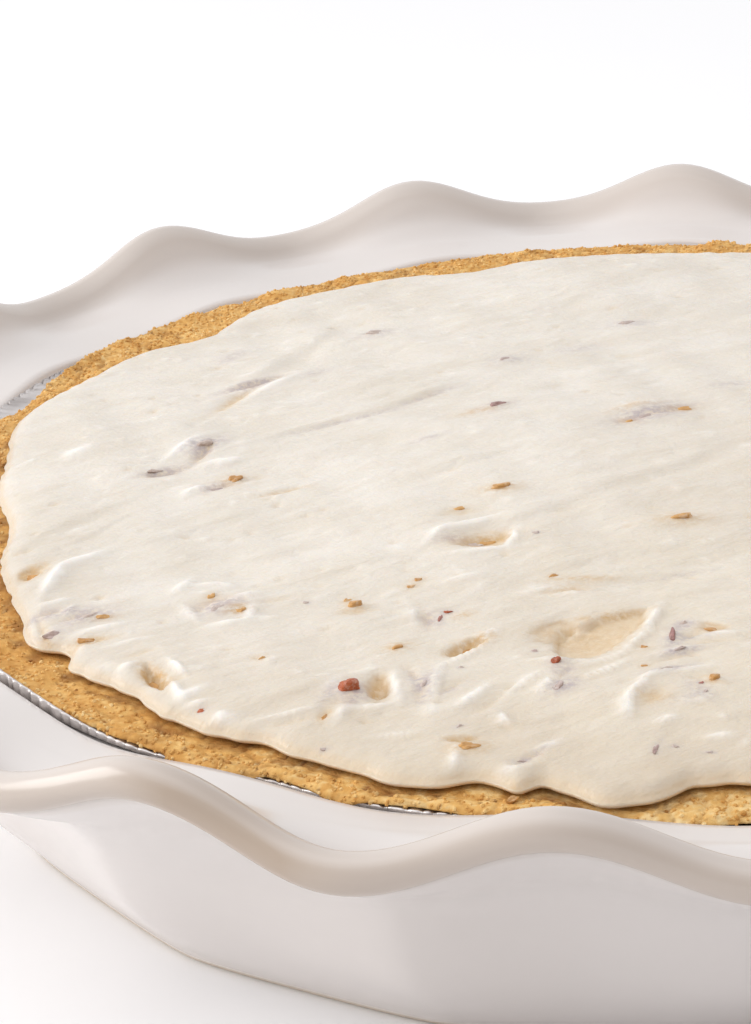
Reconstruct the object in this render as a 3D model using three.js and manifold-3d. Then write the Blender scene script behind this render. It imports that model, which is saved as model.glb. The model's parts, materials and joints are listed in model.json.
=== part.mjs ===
// Cream pecan pie in a crumb crust, in its foil tin, standing in a ruffled
// ceramic pie dish. Millimetres, +Z up, front towards -Y, the dish stands on
// z = 0 with its axis at x = y = 0.
import * as THREE from 'three';
import Module from 'manifold-3d';

const wasm = await Module();
wasm.setup();
const { Manifold, Mesh } = wasm;

// ------------------------------------------------------------ driving sizes
const TAU = Math.PI * 2;
const rad = (deg) => (deg * Math.PI) / 180;

const dish = {
  lobes: 16, lobeTurn: rad(7),      // low lobe 7 degrees right of the front
  footRadius: 97.3, floorTop: 6.0, floorRadius: 88.0,
  rimRadius: 128.4, rimHeight: 42.3, lipRadius: 2.6,
  rise: 3.4, riseSharp: 0.25,       // up-and-down wave of the rim
  sway: 0.4, swaySharp: 0.45,       // in-and-out wave of the rim
  ledgeShare: 0.2, ledgeLift: 0.6,  // how much of the wave reaches the ledge, and its rise at the front
  columns: 96,
};

const tin = {
  centreX: 4.0,
  foil: 0.4, baseBottom: 6.6, baseRadius: 80.0,
  wallTop: 104.6, edgeRadius: 111.8, edgeHeight: 37.7, curl: 0.1,
  roll: 0.65, stand: 1.9,           // the edge is rolled down a little, and stands up at the front left
  crimps: 36, crimpDepth: 0.14, columns: 108,
};

const crust = {
  gap: 0.3, topHeight: 38.6, outerRadius: 111.8, setBack: 1.3, crag: 0.55,
  wallThickness: 9.0, bottomThickness: 6.5, innerTop: 95.5,
  columns: 128,
};
const crustBays = [                                  // where the crust reaches further out or has broken away
  { at: rad(-108), out: -3.4, width: rad(9) }, { at: rad(-28.5), out: -0.3, width: rad(4) },
  { at: rad(-14), out: 0.3, width: rad(6) }, { at: rad(3), out: -0.8, width: rad(4.5) },
  { at: rad(60), out: 0.3, width: rad(14) }, { at: rad(140), out: -1.0, width: rad(12) },
];

const cream = {
  gap: 0.3, edgeMean: 102.9, edgeLean: 3.8,  // wider towards the front
  edgeBead: 2.2, beadWide: 3.4,              // the rounded bead along the edge
  crown: 2.2,                                // rise to the middle
  gridRings: 17, columns: 106,
};

// ---------------------------------------------------------------- utilities
function makeRandom(seed) {
  let s = seed >>> 0;
  return () => {
    s = (s + 0x6d2b79f5) >>> 0;
    let t = s;
    t = Math.imul(t ^ (t >>> 15), t | 1);
    t ^= t + Math.imul(t ^ (t >>> 7), t | 61);
    return ((t ^ (t >>> 14)) >>> 0) / 4294967296;
  };
}
const smooth = (a, b, x) => {
  const t = Math.min(1, Math.max(0, (x - a) / (b - a)));
  return t * t * (3 - 2 * t);
};
const wrap = (t) => Math.atan2(Math.sin(t), Math.cos(t));
const bump = (t, at, width) => Math.exp(-((wrap(t - at) / width) ** 2));
const heading = (x, y) => Math.atan2(x, -y);           // 0 at the front, + to the right
const spot = (r, t, z, cx = 0) => [r * Math.sin(t) + cx, -r * Math.cos(t), z];

// smooth value noise from a seeded set of plane waves
function waves(seed, count, lowest, highest) {
  const random = makeRandom(seed);
  const set = [];
  for (let i = 0; i < count; i++) {
    const k = TAU / (lowest + (highest - lowest) * random());
    const a = TAU * random();
    set.push([k * Math.cos(a), k * Math.sin(a), TAU * random()]);
  }
  const scale = Math.sqrt(2 / count);
  return (x, y) => set.reduce((sum, w) => sum + Math.sin(w[0] * x + w[1] * y + w[2]), 0) * scale;
}
function roundTrip(seed, first, last) {
  const random = makeRandom(seed);
  const set = [];
  for (let n = first; n <= last; n++) set.push([n, TAU * random(), 0.5 + random()]);
  const norm = Math.sqrt(set.reduce((sum, w) => sum + w[2] * w[2], 0) / 2);
  return (t) => set.reduce((sum, w) => sum + w[2] * Math.sin(w[0] * t + w[1]), 0) / norm;
}

// A closed skin over a stack of rings, first ring to last, each running the
// same way round; the two ends are closed on a middle point.
function skin(rings, startPoint, endPoint) {
  const points = [];
  const faces = [];
  const index = rings.map((ring) => ring.map((p) => points.push(p) - 1));
  for (let k = 0; k + 1 < index.length; k++) zip(index[k], index[k + 1], faces);
  if (startPoint) {
    const c = points.push(startPoint) - 1;
    const a = index[0];
    for (let i = 0; i < a.length; i++) faces.push([c, a[(i + 1) % a.length], a[i]]);
  }
  if (endPoint) {
    const c = points.push(endPoint) - 1;
    const a = index[index.length - 1];
    for (let i = 0; i < a.length; i++) faces.push([c, a[i], a[(i + 1) % a.length]]);
  }
  return { points, faces };
}
function zip(a, b, faces) {
  let i = 0, j = 0;
  while (i < a.length || j < b.length) {
    const stepA = j >= b.length || (i < a.length && (i + 1) / a.length <= (j + 1) / b.length);
    const ai = a[i % a.length], bj = b[j % b.length];
    if (stepA) { faces.push([ai, a[(i + 1) % a.length], bj]); i++; }
    else { faces.push([ai, b[(j + 1) % b.length], bj]); j++; }
  }
}
function ringSkin(rings) {                          // a closed loop of rings, such as a tube
  const points = [];
  const faces = [];
  const index = rings.map((ring) => ring.map((p) => points.push(p) - 1));
  for (let k = 0; k < index.length; k++) zip(index[k], index[(k + 1) % index.length], faces);
  return { points, faces };
}
const volume = ({ points, faces }) => faces.reduce((sum, [a, b, c]) => {
  const [p, q, r] = [points[a], points[b], points[c]];
  return sum + (p[0] * (q[1] * r[2] - q[2] * r[1]) - p[1] * (q[0] * r[2] - q[2] * r[0]) + p[2] * (q[0] * r[1] - q[1] * r[0])) / 6;
}, 0);
function outward(body) {
  if (volume(body) < 0) body.faces = body.faces.map(([a, b, c]) => [a, c, b]);
  return body;
}
function geometry({ points, faces }) {
  const g = new THREE.BufferGeometry();
  g.setAttribute('position', new THREE.Float32BufferAttribute(points.flat(), 3));
  g.setIndex(faces.flat());
  return g;
}
function toManifold(body) {
  return new Manifold(new Mesh({
    numProp: 3,
    vertProperties: new Float32Array(body.points.flat()),
    triVerts: new Uint32Array(body.faces.flat()),
  }));
}
function fromManifold(solid) {
  const m = solid.getMesh();
  const points = [];
  for (let i = 0; i < m.numVert; i++) points.push([0, 1, 2].map((k) => m.vertProperties[i * m.numProp + k]));
  const faces = [];
  for (let i = 0; i < m.numTri; i++) faces.push([0, 1, 2].map((k) => m.triVerts[3 * i + k]));
  return { points, faces };
}
function part(name, body, colour, roughness, metalness = 0) {
  const mesh = new THREE.Mesh(geometry(body), new THREE.MeshStandardMaterial({ color: colour, roughness, metalness }));
  mesh.name = name;
  return mesh;
}
// a smooth line through named points, sampled evenly
const through = (points, count) => new THREE.SplineCurve(points.map((p) => new THREE.Vector2(...p))).getSpacedPoints(count - 1);

// --------------------------------------------------------------------- dish
const lipWave = (t) => {
  const u = dish.lobes * (t - dish.lobeTurn);
  return {
    r: dish.sway * Math.cos(u) + dish.swaySharp * Math.cos(2 * u),
    z: -dish.rise * Math.cos(u) + dish.riseSharp * Math.cos(2 * u),
  };
};
// +1 on the ridge under a low lobe, about -1 in the hollow between two ridges
const flute = (t) => 1 - 2 * Math.pow(Math.abs(Math.sin((dish.lobes / 2) * (t - dish.lobeTurn))), 1.3);
// how far the rim's wave and the wall's flutes reach down the wall
const waveShare = (z) => smooth(24, dish.rimHeight - 0.6, z);
const fluteDepth = (z) => 0.5 + 1.1 * smooth(0, 14, z) - 1.1 * smooth(24, dish.rimHeight, z);

const ledgeLift = (t) => dish.ledgeLift * bump(t, rad(-5), rad(22));
function dishRing(r, z, share = waveShare(z), depth = fluteDepth(z), aside = 0, lift = 0) {
  const ring = [];
  for (let i = 0; i < dish.columns; i++) {
    const t = (TAU * i) / dish.columns + dish.lobeTurn;
    const w = lipWave(t);
    ring.push(spot(r + depth * flute(t) + share * w.r, t, z + share * w.z + lift * ledgeLift(t), aside));
  }
  return ring;
}
function buildDish() {
  const rings = [];
  const foot = dish.footRadius;
  rings.push(dishRing(foot - 2.0, 0, 0, 0.5), dishRing(foot, 1.0, 0, 0.6));
  const neck = [dish.rimRadius + 0.3, dish.rimHeight - dish.lipRadius + 0.02];
  const outer = through([[foot + 0.4, 1.6], [104.4, 10.0], [108.6, 18.0], [111.6, 25.0], [115.8, 30.2], [122.2, 34.9], neck], 8);
  for (const p of outer.slice(1)) rings.push(dishRing(p.x, p.y));
  for (const a of [-50, 0, 50, 100]) {
    rings.push(dishRing(dish.rimRadius + dish.lipRadius * Math.cos(rad(a)), dish.rimHeight + dish.lipRadius * Math.sin(rad(a)), 1, 0.3));
  }
  // inside: down from the lip to the ledge round the tin's edge, a small step under it, then the wall and the floor
  const inner = [
    [dish.rimRadius - 2.5, dish.rimHeight + 1.5], [123.2, 40.9], [119.5, 39.1], [112.9, 38.05], [112.4, 36.8],
    [109.3, 36.2], [106.8, 31.5], [103.0, 20.5], [96.5, 10.3], [dish.floorRadius, dish.floorTop],
  ];
  for (const [r, z] of inner) {
    const onLedge = smooth(36.9, 38.0, z);
    const share = Math.max(dish.ledgeShare * onLedge, smooth(37.8, dish.rimHeight - 0.3, z));
    const depth = 0.7 * fluteDepth(z) * smooth(5, 9, z) * (1 - 0.9 * smooth(30, 35, z) * smooth(41.5, 39.5, z));
    const aside = tin.centreX * smooth(30, 35, z) * smooth(123, 116, r);    // the ledge lies round the tin, not round the dish
    rings.push(dishRing(r, z, share, depth, aside, onLedge * smooth(126, 121, r)));
  }
  return outward(skin(rings, [0, 0, 0], [0, 0, dish.floorTop]));
}

// ---------------------------------------------------------------------- tin
function buildTin() {
  const t0 = tin.foil;
  const edge = tin.edgeRadius;
  const wobble = roundTrip(11, 3, 14);
  const top = (t) => tin.edgeHeight + tin.curl + tin.stand * smooth(rad(-72), rad(-64), wrap(t)) * smooth(rad(-36), rad(-52), wrap(t));
  const ring = (r, z, ripple) => {
    const out = [];
    const columns = ripple > 0 ? tin.columns : tin.columns / 2;
    for (let i = 0; i < columns; i++) {
      const t = (TAU * i) / columns;
      const c = Math.cos(tin.crimps * t);
      const height = typeof z === 'function' ? z(t) : z;
      out.push(spot(r + ripple * (0.10 * wobble(t) + tin.crimpDepth * c), t, height + 0.5 * ripple * tin.crimpDepth * c, tin.centreX));
    }
    return out;
  };
  const z0 = tin.baseBottom, z1 = tin.edgeHeight;
  const outside = [
    ring(tin.baseRadius, z0, 0), ring(tin.baseRadius + 2.4, z0 + 1.6, 0),
    ring(tin.wallTop + t0, z1 - 2.0, 0), ring(tin.wallTop + 2.2, z1 - t0 - 0.5, 0),
    ring(edge - 1.0, z1 - t0, 0.4), ring(edge - t0 + 0.05, z1 - tin.roll, 1),
    ring(edge + 0.05, z1 - tin.roll + 0.1, 1), ring(edge + 0.1, top, 1),
  ];
  const inside = [
    ring(edge - t0, top, 1), ring(edge - t0 - 0.5, z1, 0.6), ring(tin.wallTop + 1.8, z1 - 0.5, 0),
    ring(tin.wallTop, z1 - 1.8, 0), ring(tin.baseRadius + 2.2, z0 + 1.6 + t0, 0), ring(tin.baseRadius - 0.4, z0 + t0, 0),
  ];
  const rings = [...outside, ...inside];
  return outward(skin(rings, [tin.centreX, 0, z0], [tin.centreX, 0, z0 + t0]));
}

// -------------------------------------------------------------------- cream
const edgeNoise = roundTrip(2870, 7, 26);
const spills = [                                     // where the cream runs further out or stops short
  { at: rad(-4), out: 4.6, width: rad(3.8) }, { at: rad(3), out: -1.0, width: rad(3) },
  { at: rad(-11), out: -0.8, width: rad(2.5) }, { at: rad(-19), out: 2.7, width: rad(6) },
  { at: rad(-34), out: 1.3, width: rad(5) }, { at: rad(-26.3), out: 1.5, width: rad(3.2) },
  { at: rad(-33), out: -1.5, width: rad(2.4) }, { at: rad(-70), out: -6.4, width: rad(9) },
  { at: rad(-86), out: -4.0, width: rad(9) },
  { at: rad(-127), out: -3.6, width: rad(5) }, { at: rad(-160), out: -2.4, width: rad(5) },
];
const creamEdge = (t) => spills.reduce((r, s) => r + s.out * bump(t, s.at, s.width),
  cream.edgeMean + cream.edgeLean * Math.cos(t) + 0.75 * edgeNoise(t));

const swell = waves(5, 7, 46, 90);
const stroke = makeStrokes(8);
const chop = waves(17, 9, 11, 19);
// long shallow marks of the spreading knife, curving from lower left to upper right
function makeStrokes(seed) {
  const random = makeRandom(seed);
  const marks = [];
  for (let i = 0; i < 26; i++) {
    const r = 88 * Math.sqrt(random()), t = TAU * random();
    marks.push({
      x: r * Math.sin(t), y: -r * Math.cos(t), turn: rad(28 + 24 * (random() - 0.5)),
      long: 14 + 20 * random(), wide: 2.4 + 2.6 * random(), deep: (random() < 0.5 ? -1 : 1) * (0.35 + 0.5 * random()),
    });
  }
  return (x, y) => marks.reduce((sum, m) => {
    const dx = x - m.x, dy = y - m.y;
    const u = dx * Math.cos(m.turn) + dy * Math.sin(m.turn);
    const v = -dx * Math.sin(m.turn) + dy * Math.cos(m.turn) - 0.012 * u * u;
    return sum + m.deep * Math.exp(-((u / m.long) ** 2) - ((v / m.wide) ** 2));
  }, 0);
}
// named dips where bits sat or the knife lifted: x and y from the tin's centre
const dips = [
  { name: 'wide hollow', x: -10.5, y: -68.4, turn: rad(22), long: 7.0, wide: 4.4, deep: 1.3 },
  { name: 'round pit', x: -36.3, y: -81.9, turn: 0, long: 1.6, wide: 2.6, deep: 1.2 },
  { name: 'nut pit', x: -26.3, y: -70.9, turn: rad(45), long: 2.6, wide: 1.4, deep: 0.9 },
  { name: 'edge pit', x: -66.0, y: -76.6, turn: rad(-50), long: 2.2, wide: 1.5, deep: 1.3 },
  { name: 'shadow pit', x: -25.0, y: -35.4, turn: rad(20), long: 4.4, wide: 3.2, deep: 1.1 },
];
function creamTop(x, y) {                            // x, y from the tin's centre
  const r = Math.hypot(x, y), t = heading(x, y), e = creamEdge(t);
  const inset = e - r;
  const bead = cream.edgeBead * Math.sqrt(1 - (1 - Math.min(1, Math.max(0, inset) / cream.beadWide)) ** 2);
  const middle = cream.crown * (1 - (r / e) ** 2);
  const live = smooth(1.5, 9, inset);
  let z = crust.topHeight + 0.55 + bead + middle + live * (0.38 * swell(x, y) + stroke(x, y) + 0.16 * chop(x, y));
  for (const d of dips) {
    const dx = x - d.x, dy = y - d.y;
    const u = dx * Math.cos(d.turn) + dy * Math.sin(d.turn), v = -dx * Math.sin(d.turn) + dy * Math.cos(d.turn);
    z -= d.deep * Math.exp(-((u / d.long) ** 2) - ((v / d.wide) ** 2));
  }
  return z;
}
function buildCream() {
  const cx = tin.centreX;
  const rings = [];
  const under = crust.topHeight + 0.55;
  const bowlTop = crust.innerTop - cream.gap;
  const floorZ = tin.baseBottom + tin.foil + crust.gap + crust.bottomThickness + cream.gap;
  const ring = (count, f) => Array.from({ length: count }, (_, i) => f((TAU * i) / count));
  rings.push(ring(48, (t) => spot(72.0, t, floorZ, cx)));
  rings.push(ring(72, (t) => spot(77.0, t, floorZ + 3, cx)));
  rings.push(ring(96, (t) => spot(bowlTop, t, under, cx)));
  rings.push(ring(cream.columns, (t) => spot(creamEdge(t) - 0.9, t, under, cx)));
  rings.push(ring(cream.columns, (t) => spot(creamEdge(t), t, under + 0.8, cx)));
  const rows = cream.gridRings;
  for (let k = 0; k < rows; k++) {
    const inset = k === 0 ? 0.9 : k === 1 ? 3.0 : 3.0 + (k - 1) * (99.0 / (rows - 0.2));
    const share = Math.max(0.06, 1 - inset / 103);
    const count = Math.max(8, Math.round(cream.columns * Math.min(1, share * 1.08)));
    rings.push(ring(count, (t) => {
      const e = creamEdge(t);
      const r = inset < 12 ? e - inset : (e - 12) * ((cream.edgeMean - inset) / (cream.edgeMean - 12));
      const x = r * Math.sin(t), y = -r * Math.cos(t);
      return [x + cx, y, creamTop(x, y)];
    }));
  }
  const body = outward(skin(rings, [cx, 0, floorZ], [cx, 0, creamTop(0, 0)]));
  return body;
}
// chopped pecan, coated in cream, half sunk in its face
const namedBits = [
  { x: -40.1, y: -82.9, size: 1.5 }, { x: -14.4, y: -76.7, size: 1.2 }, { x: 0.4, y: -70.2, size: 1.7 },
  { x: -25.2, y: -69.4, size: 1.3 }, { x: -24.7, y: -98.4, size: 1.3 }, { x: 2.1, y: -31.1, size: 1.6 },
  { x: -23.1, y: -20.7, size: 1.4 }, { x: -24.7, y: 14.3, size: 1.6 }, { x: -64.2, y: 31.4, size: 2.0 },
  { x: -68.9, y: 3.5, size: 1.8 }, { x: -62.8, y: -9.7, size: 1.5 }, { x: -1.0, y: 9.5, size: 2.3 },
  { x: -46.4, y: 54.0, size: 1.6 }, { x: -24.0, y: 37.5, size: 1.6 }, { x: -4.6, y: 54.5, size: 1.7 },
  { x: -59.2, y: -56.6, size: 2.2 }, { x: -77.4, y: -58.0, size: 2.0 }, { x: -35.0, y: -70.9, size: 1.3 },
  { x: -41.4, y: -57.5, size: 1.4 }, { x: -14.0, y: -84.0, size: 1.5 }, { x: 5.3, y: -83.3, size: 1.4 },
  { x: -31.0, y: -81.4, size: 1.7 },
];
// the rest lie right of a line that leans back across the pie
const hasNamedBits = (x, y) => x < 11 + 0.09 * (y + 97);
function bitPlaces() {
  const random = makeRandom(41);
  const places = namedBits.map((b) => ({ ...b }));
  while (places.length < 40) {
    const r = 93 * Math.sqrt(random()), t = TAU * random();
    const x = r * Math.sin(t), y = -r * Math.cos(t);
    if (hasNamedBits(x, y)) continue;
    if (places.every((p) => Math.hypot(p.x - x, p.y - y) > 11)) places.push({ x, y, size: 1.3 + 1.2 * random() });
  }
  return places;
}
function chip(x, y, z, size, random) {
  const g = new THREE.IcosahedronGeometry(1, 0);
  const pos = g.getAttribute('position');
  const squash = new THREE.Vector3(1.0 + 0.9 * random(), 0.75 + 0.3 * random(), 0.55 + 0.2 * random()).multiplyScalar(size);
  const turn = new THREE.Euler(0.5 * (random() - 0.5), 0.5 * (random() - 0.5), TAU * random());
  const seen = new Map();
  const points = [];
  const faces = [];
  const v = new THREE.Vector3();
  for (let i = 0; i < pos.count; i++) {
    v.fromBufferAttribute(pos, i);
    const key = v.toArray().map((c) => c.toFixed(3)).join();
    if (!seen.has(key)) {
      const w = v.clone().multiplyScalar(0.82 + 0.3 * random()).multiply(squash).applyEuler(turn);
      seen.set(key, points.push([w.x + x, w.y + y, w.z + z]) - 1);
    }
    if (i % 3 === 0) faces.push([]);
    faces[faces.length - 1].push(seen.get(key));
  }
  return outward({ points, faces });
}
function buildFilling() {
  const random = makeRandom(77);
  const chips = bitPlaces().map((b) => toManifold(chip(b.x + tin.centreX, b.y, creamTop(b.x, b.y) - 0.15 * b.size, b.size, random)));
  const solid = Manifold.union([toManifold(buildCream()), ...chips]);
  return outward(fromManifold(solid));
}

// -------------------------------------------------------------------- crust
const crumb = waves(31, 12, 7, 15);
const crumbEdge = roundTrip(37, 9, 40);
function crustTop(r, t) {                            // r, t from the tin's centre
  const x = r * Math.sin(t), y = -r * Math.cos(t);
  const clear = smooth(creamEdge(t) + 0.8, creamEdge(t) + 2.8, r);  // flat where the cream lies on it
  return crust.topHeight + 0.15 + clear * crust.crag * crumb(x, y) * 0.6;
}
function buildCrust() {
  const cx = tin.centreX;
  const behindFoil = (t) => smooth(rad(-80), rad(-74), wrap(t)) * smooth(rad(-38.5), rad(-43), wrap(t));
  const outer = (t) => crustBays.reduce((r, b) => r + b.out * bump(t, b.at, b.width),
    crust.outerRadius + 0.35 * crumbEdge(t) - 0.5 - crust.setBack * behindFoil(t));
  const ring = (f, columns = crust.columns) => Array.from({ length: columns }, (_, i) => f((TAU * i) / columns));
  const plain = crust.columns / 2;
  const g = crust.gap;
  const z0 = tin.baseBottom + tin.foil + g, seat = tin.edgeHeight + g;
  const floorZ = z0 + crust.bottomThickness;
  const rings = [
    ring((t) => spot(tin.baseRadius - 2.0, t, z0, cx), plain),
    ring((t) => spot(tin.baseRadius + 1.6, t, z0 + 1.9, cx), plain),
    ring((t) => spot(tin.wallTop - g - 0.1, t, seat - 1.6, cx), plain),
    ring((t) => spot(Math.min(tin.wallTop + 1.5, outer(t) - 2.4), t, seat - 0.2, cx)),
    ring((t) => spot(outer(t) - 0.5, t, seat + 0.15, cx)),
    ring((t) => spot(outer(t), t, seat + 0.3, cx)),
    ...[0, 0.3, 0.64, 1].map((share) => ring((t) => {
      const rOut = outer(t) - 1.3, rIn = Math.min(creamEdge(t) + 0.5, rOut - 1.5);
      const r = rOut + (rIn - rOut) * share;
      return spot(r, t, Math.max(seat + 0.6, crustTop(r, t)) - 0.15 * share, cx);
    })),
    ring((t) => spot(crust.innerTop, t, crust.topHeight, cx)),
    ring((t) => spot(77.4, t, floorZ + 3.0, cx), plain),
    ring((t) => spot(72.0, t, floorZ, cx), plain),
  ];
  return outward(skin(rings, [cx, 0, z0], [cx, 0, floorZ]));
}

// --------------------------------------------------------------- the object
const pie = new THREE.Group();
pie.name = 'pecan_cream_pie';
pie.add(part('pie_dish', buildDish(), 0xe9e4e0, 0.25));
pie.add(part('foil_tin', buildTin(), 0xb4b1ae, 0.35, 1));
pie.add(part('crumb_crust', buildCrust(), 0xcf9c52, 0.9));
pie.add(part('pecan_filling', buildFilling(), 0xece2d4, 0.45));
export default pie;
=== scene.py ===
# %% [markdown]
# # A cream pecan pie in its ruffled dish
# The real object has four layers, one inside the other: a glazed stoneware
# dish with a wavy lip, a crimped foil tin, a crust of pressed biscuit crumbs
# and a whipped filling with chopped pecans. This lesson dresses a plain model
# of those four solids. Every length below is in millimetres, and turned into
# Blender's metres only when a mesh is made.

# %% Load the plain model
import math

import bmesh
import bpy
import numpy as np
from mathutils import Matrix, Vector
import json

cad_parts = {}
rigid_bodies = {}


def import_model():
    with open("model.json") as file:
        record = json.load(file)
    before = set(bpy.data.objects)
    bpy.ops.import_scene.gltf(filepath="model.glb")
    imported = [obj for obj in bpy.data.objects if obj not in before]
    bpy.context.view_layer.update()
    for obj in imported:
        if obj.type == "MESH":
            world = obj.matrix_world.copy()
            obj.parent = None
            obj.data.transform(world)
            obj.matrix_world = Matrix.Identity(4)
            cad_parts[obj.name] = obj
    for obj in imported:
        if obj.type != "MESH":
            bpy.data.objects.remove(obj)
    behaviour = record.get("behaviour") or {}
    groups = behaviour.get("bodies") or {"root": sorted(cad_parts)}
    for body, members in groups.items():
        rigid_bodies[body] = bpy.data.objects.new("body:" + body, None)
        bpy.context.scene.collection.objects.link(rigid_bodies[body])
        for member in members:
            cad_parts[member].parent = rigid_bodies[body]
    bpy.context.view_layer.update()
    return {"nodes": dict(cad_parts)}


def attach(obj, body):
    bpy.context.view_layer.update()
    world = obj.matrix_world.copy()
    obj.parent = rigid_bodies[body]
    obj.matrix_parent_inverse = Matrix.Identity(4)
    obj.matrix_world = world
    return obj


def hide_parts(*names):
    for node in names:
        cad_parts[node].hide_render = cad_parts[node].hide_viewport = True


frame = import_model()
MM, METRE = 0.001, 1000.0  # a millimetre in metres, and a metre in millimetres
TAU = 2 * math.pi


def link(thing):
    bpy.context.scene.collection.objects.link(thing)
    return thing


print("plain nodes:", sorted(frame["nodes"]))

# %% [markdown]
# ## The camera
# A long lens close to the table looks down on the pie's near left side, so
# the far rim lies low. A camera is easiest to check when its place, the way it
# looks and its upward direction are written down one by one.

# %% Camera
CAMERA_PLACE = Vector((0.0, -438.7, 211.0)) * MM
CAMERA_LOOK = Vector((-0.0823, 0.9230, -0.3758)).normalized()
CAMERA_UP = Vector((0.0212, 0.3786, 0.9253))
LENS, SENSOR = 110.75, 36
NEAREST, FARTHEST = 0.01, 20


def add_camera():
    data = bpy.data.cameras.new("camera")
    data.lens, data.sensor_width = LENS, SENSOR
    data.clip_start, data.clip_end = NEAREST, FARTHEST
    side = CAMERA_LOOK.cross(CAMERA_UP).normalized()
    turn = Matrix((side, side.cross(CAMERA_LOOK), -CAMERA_LOOK)).transposed().to_4x4()
    camera = link(bpy.data.objects.new("camera", data))
    camera.matrix_world = Matrix.Translation(CAMERA_PLACE) @ turn
    bpy.context.scene.camera = camera


add_camera()
print("camera looks", tuple(round(c, 3) for c in CAMERA_LOOK))

# %% [markdown]
# ## Soft light
# The pie stands in bright, even daylight from a window on the left, in a white
# room. One large square lamp gives the direction, a second one overhead fills
# the hollows, and the world is the room. The world is brighter towards the
# window than opposite it, so the near side of the dish keeps a little warm
# shade to show its form.

# %% Light and room
LAMPS = {  # place, what it points at, width, watts, tint
    "window": ((-950, 0, 330), (0, 0, 30), 600, 5.4, (1.0, 0.99, 0.97)),
    "ceiling": ((-150, -350, 950), (0, 0, 0), 1000, 2.0, (1.0, 1.0, 1.0)),
}
ROOM_BRIGHT, ROOM_DIM = (0.945, 0.945, 0.955), (0.36, 0.32, 0.30)
ROOM_WINDOW_SIDE = Vector((-0.60, 0.30, 0.74)).normalized()
ROOM_FADE, ROOM_STRENGTH = (-0.5, 0.3), 1.0


def add_lamp(name, place, aim, wide, watts, tint):
    data = bpy.data.lights.new(name, "AREA")
    data.size, data.energy, data.color = wide * MM, watts, tint
    lamp = link(bpy.data.objects.new(name, data))
    lamp.location = Vector(place) * MM
    lamp.rotation_euler = (Vector(aim) - Vector(place)).to_track_quat("-Z", "Y").to_euler()


def make_room():
    world = bpy.data.worlds.new("room")
    world.use_nodes = True
    bpy.context.scene.world = world
    nodes, links = world.node_tree.nodes, world.node_tree.links
    way = nodes.new("ShaderNodeTexCoord")
    side = nodes.new("ShaderNodeVectorMath")
    side.operation = "DOT_PRODUCT"
    side.inputs[1].default_value = ROOM_WINDOW_SIDE
    ramp = nodes.new("ShaderNodeMapRange")
    ramp.interpolation_type = "SMOOTHSTEP"
    ramp.inputs["From Min"].default_value, ramp.inputs["From Max"].default_value = ROOM_FADE
    mix = nodes.new("ShaderNodeMix")
    mix.data_type = "RGBA"
    mix.inputs["A"].default_value = (*ROOM_DIM, 1)
    mix.inputs["B"].default_value = (*ROOM_BRIGHT, 1)
    links.new(way.outputs["Generated"], side.inputs[0])
    links.new(side.outputs["Value"], ramp.inputs["Value"])
    links.new(ramp.outputs[0], mix.inputs["Factor"])
    links.new(mix.outputs["Result"], nodes["Background"].inputs["Color"])
    nodes["Background"].inputs["Strength"].default_value = ROOM_STRENGTH


for lamp_name, lamp in LAMPS.items():
    add_lamp(lamp_name, *lamp)
make_room()
bpy.context.scene.view_settings.view_transform = "Standard"
print(len(LAMPS), "lamps and the room")

# %% [markdown]
# ## Small tools for shaders
# Every finish below is a node tree around one Principled shader. These
# helpers only shorten the wiring: `Finish` keeps the tree at hand, and its
# methods add a noise, a colour ramp or a mix and return the socket that the
# next node needs.

# %% Shader helpers


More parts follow.
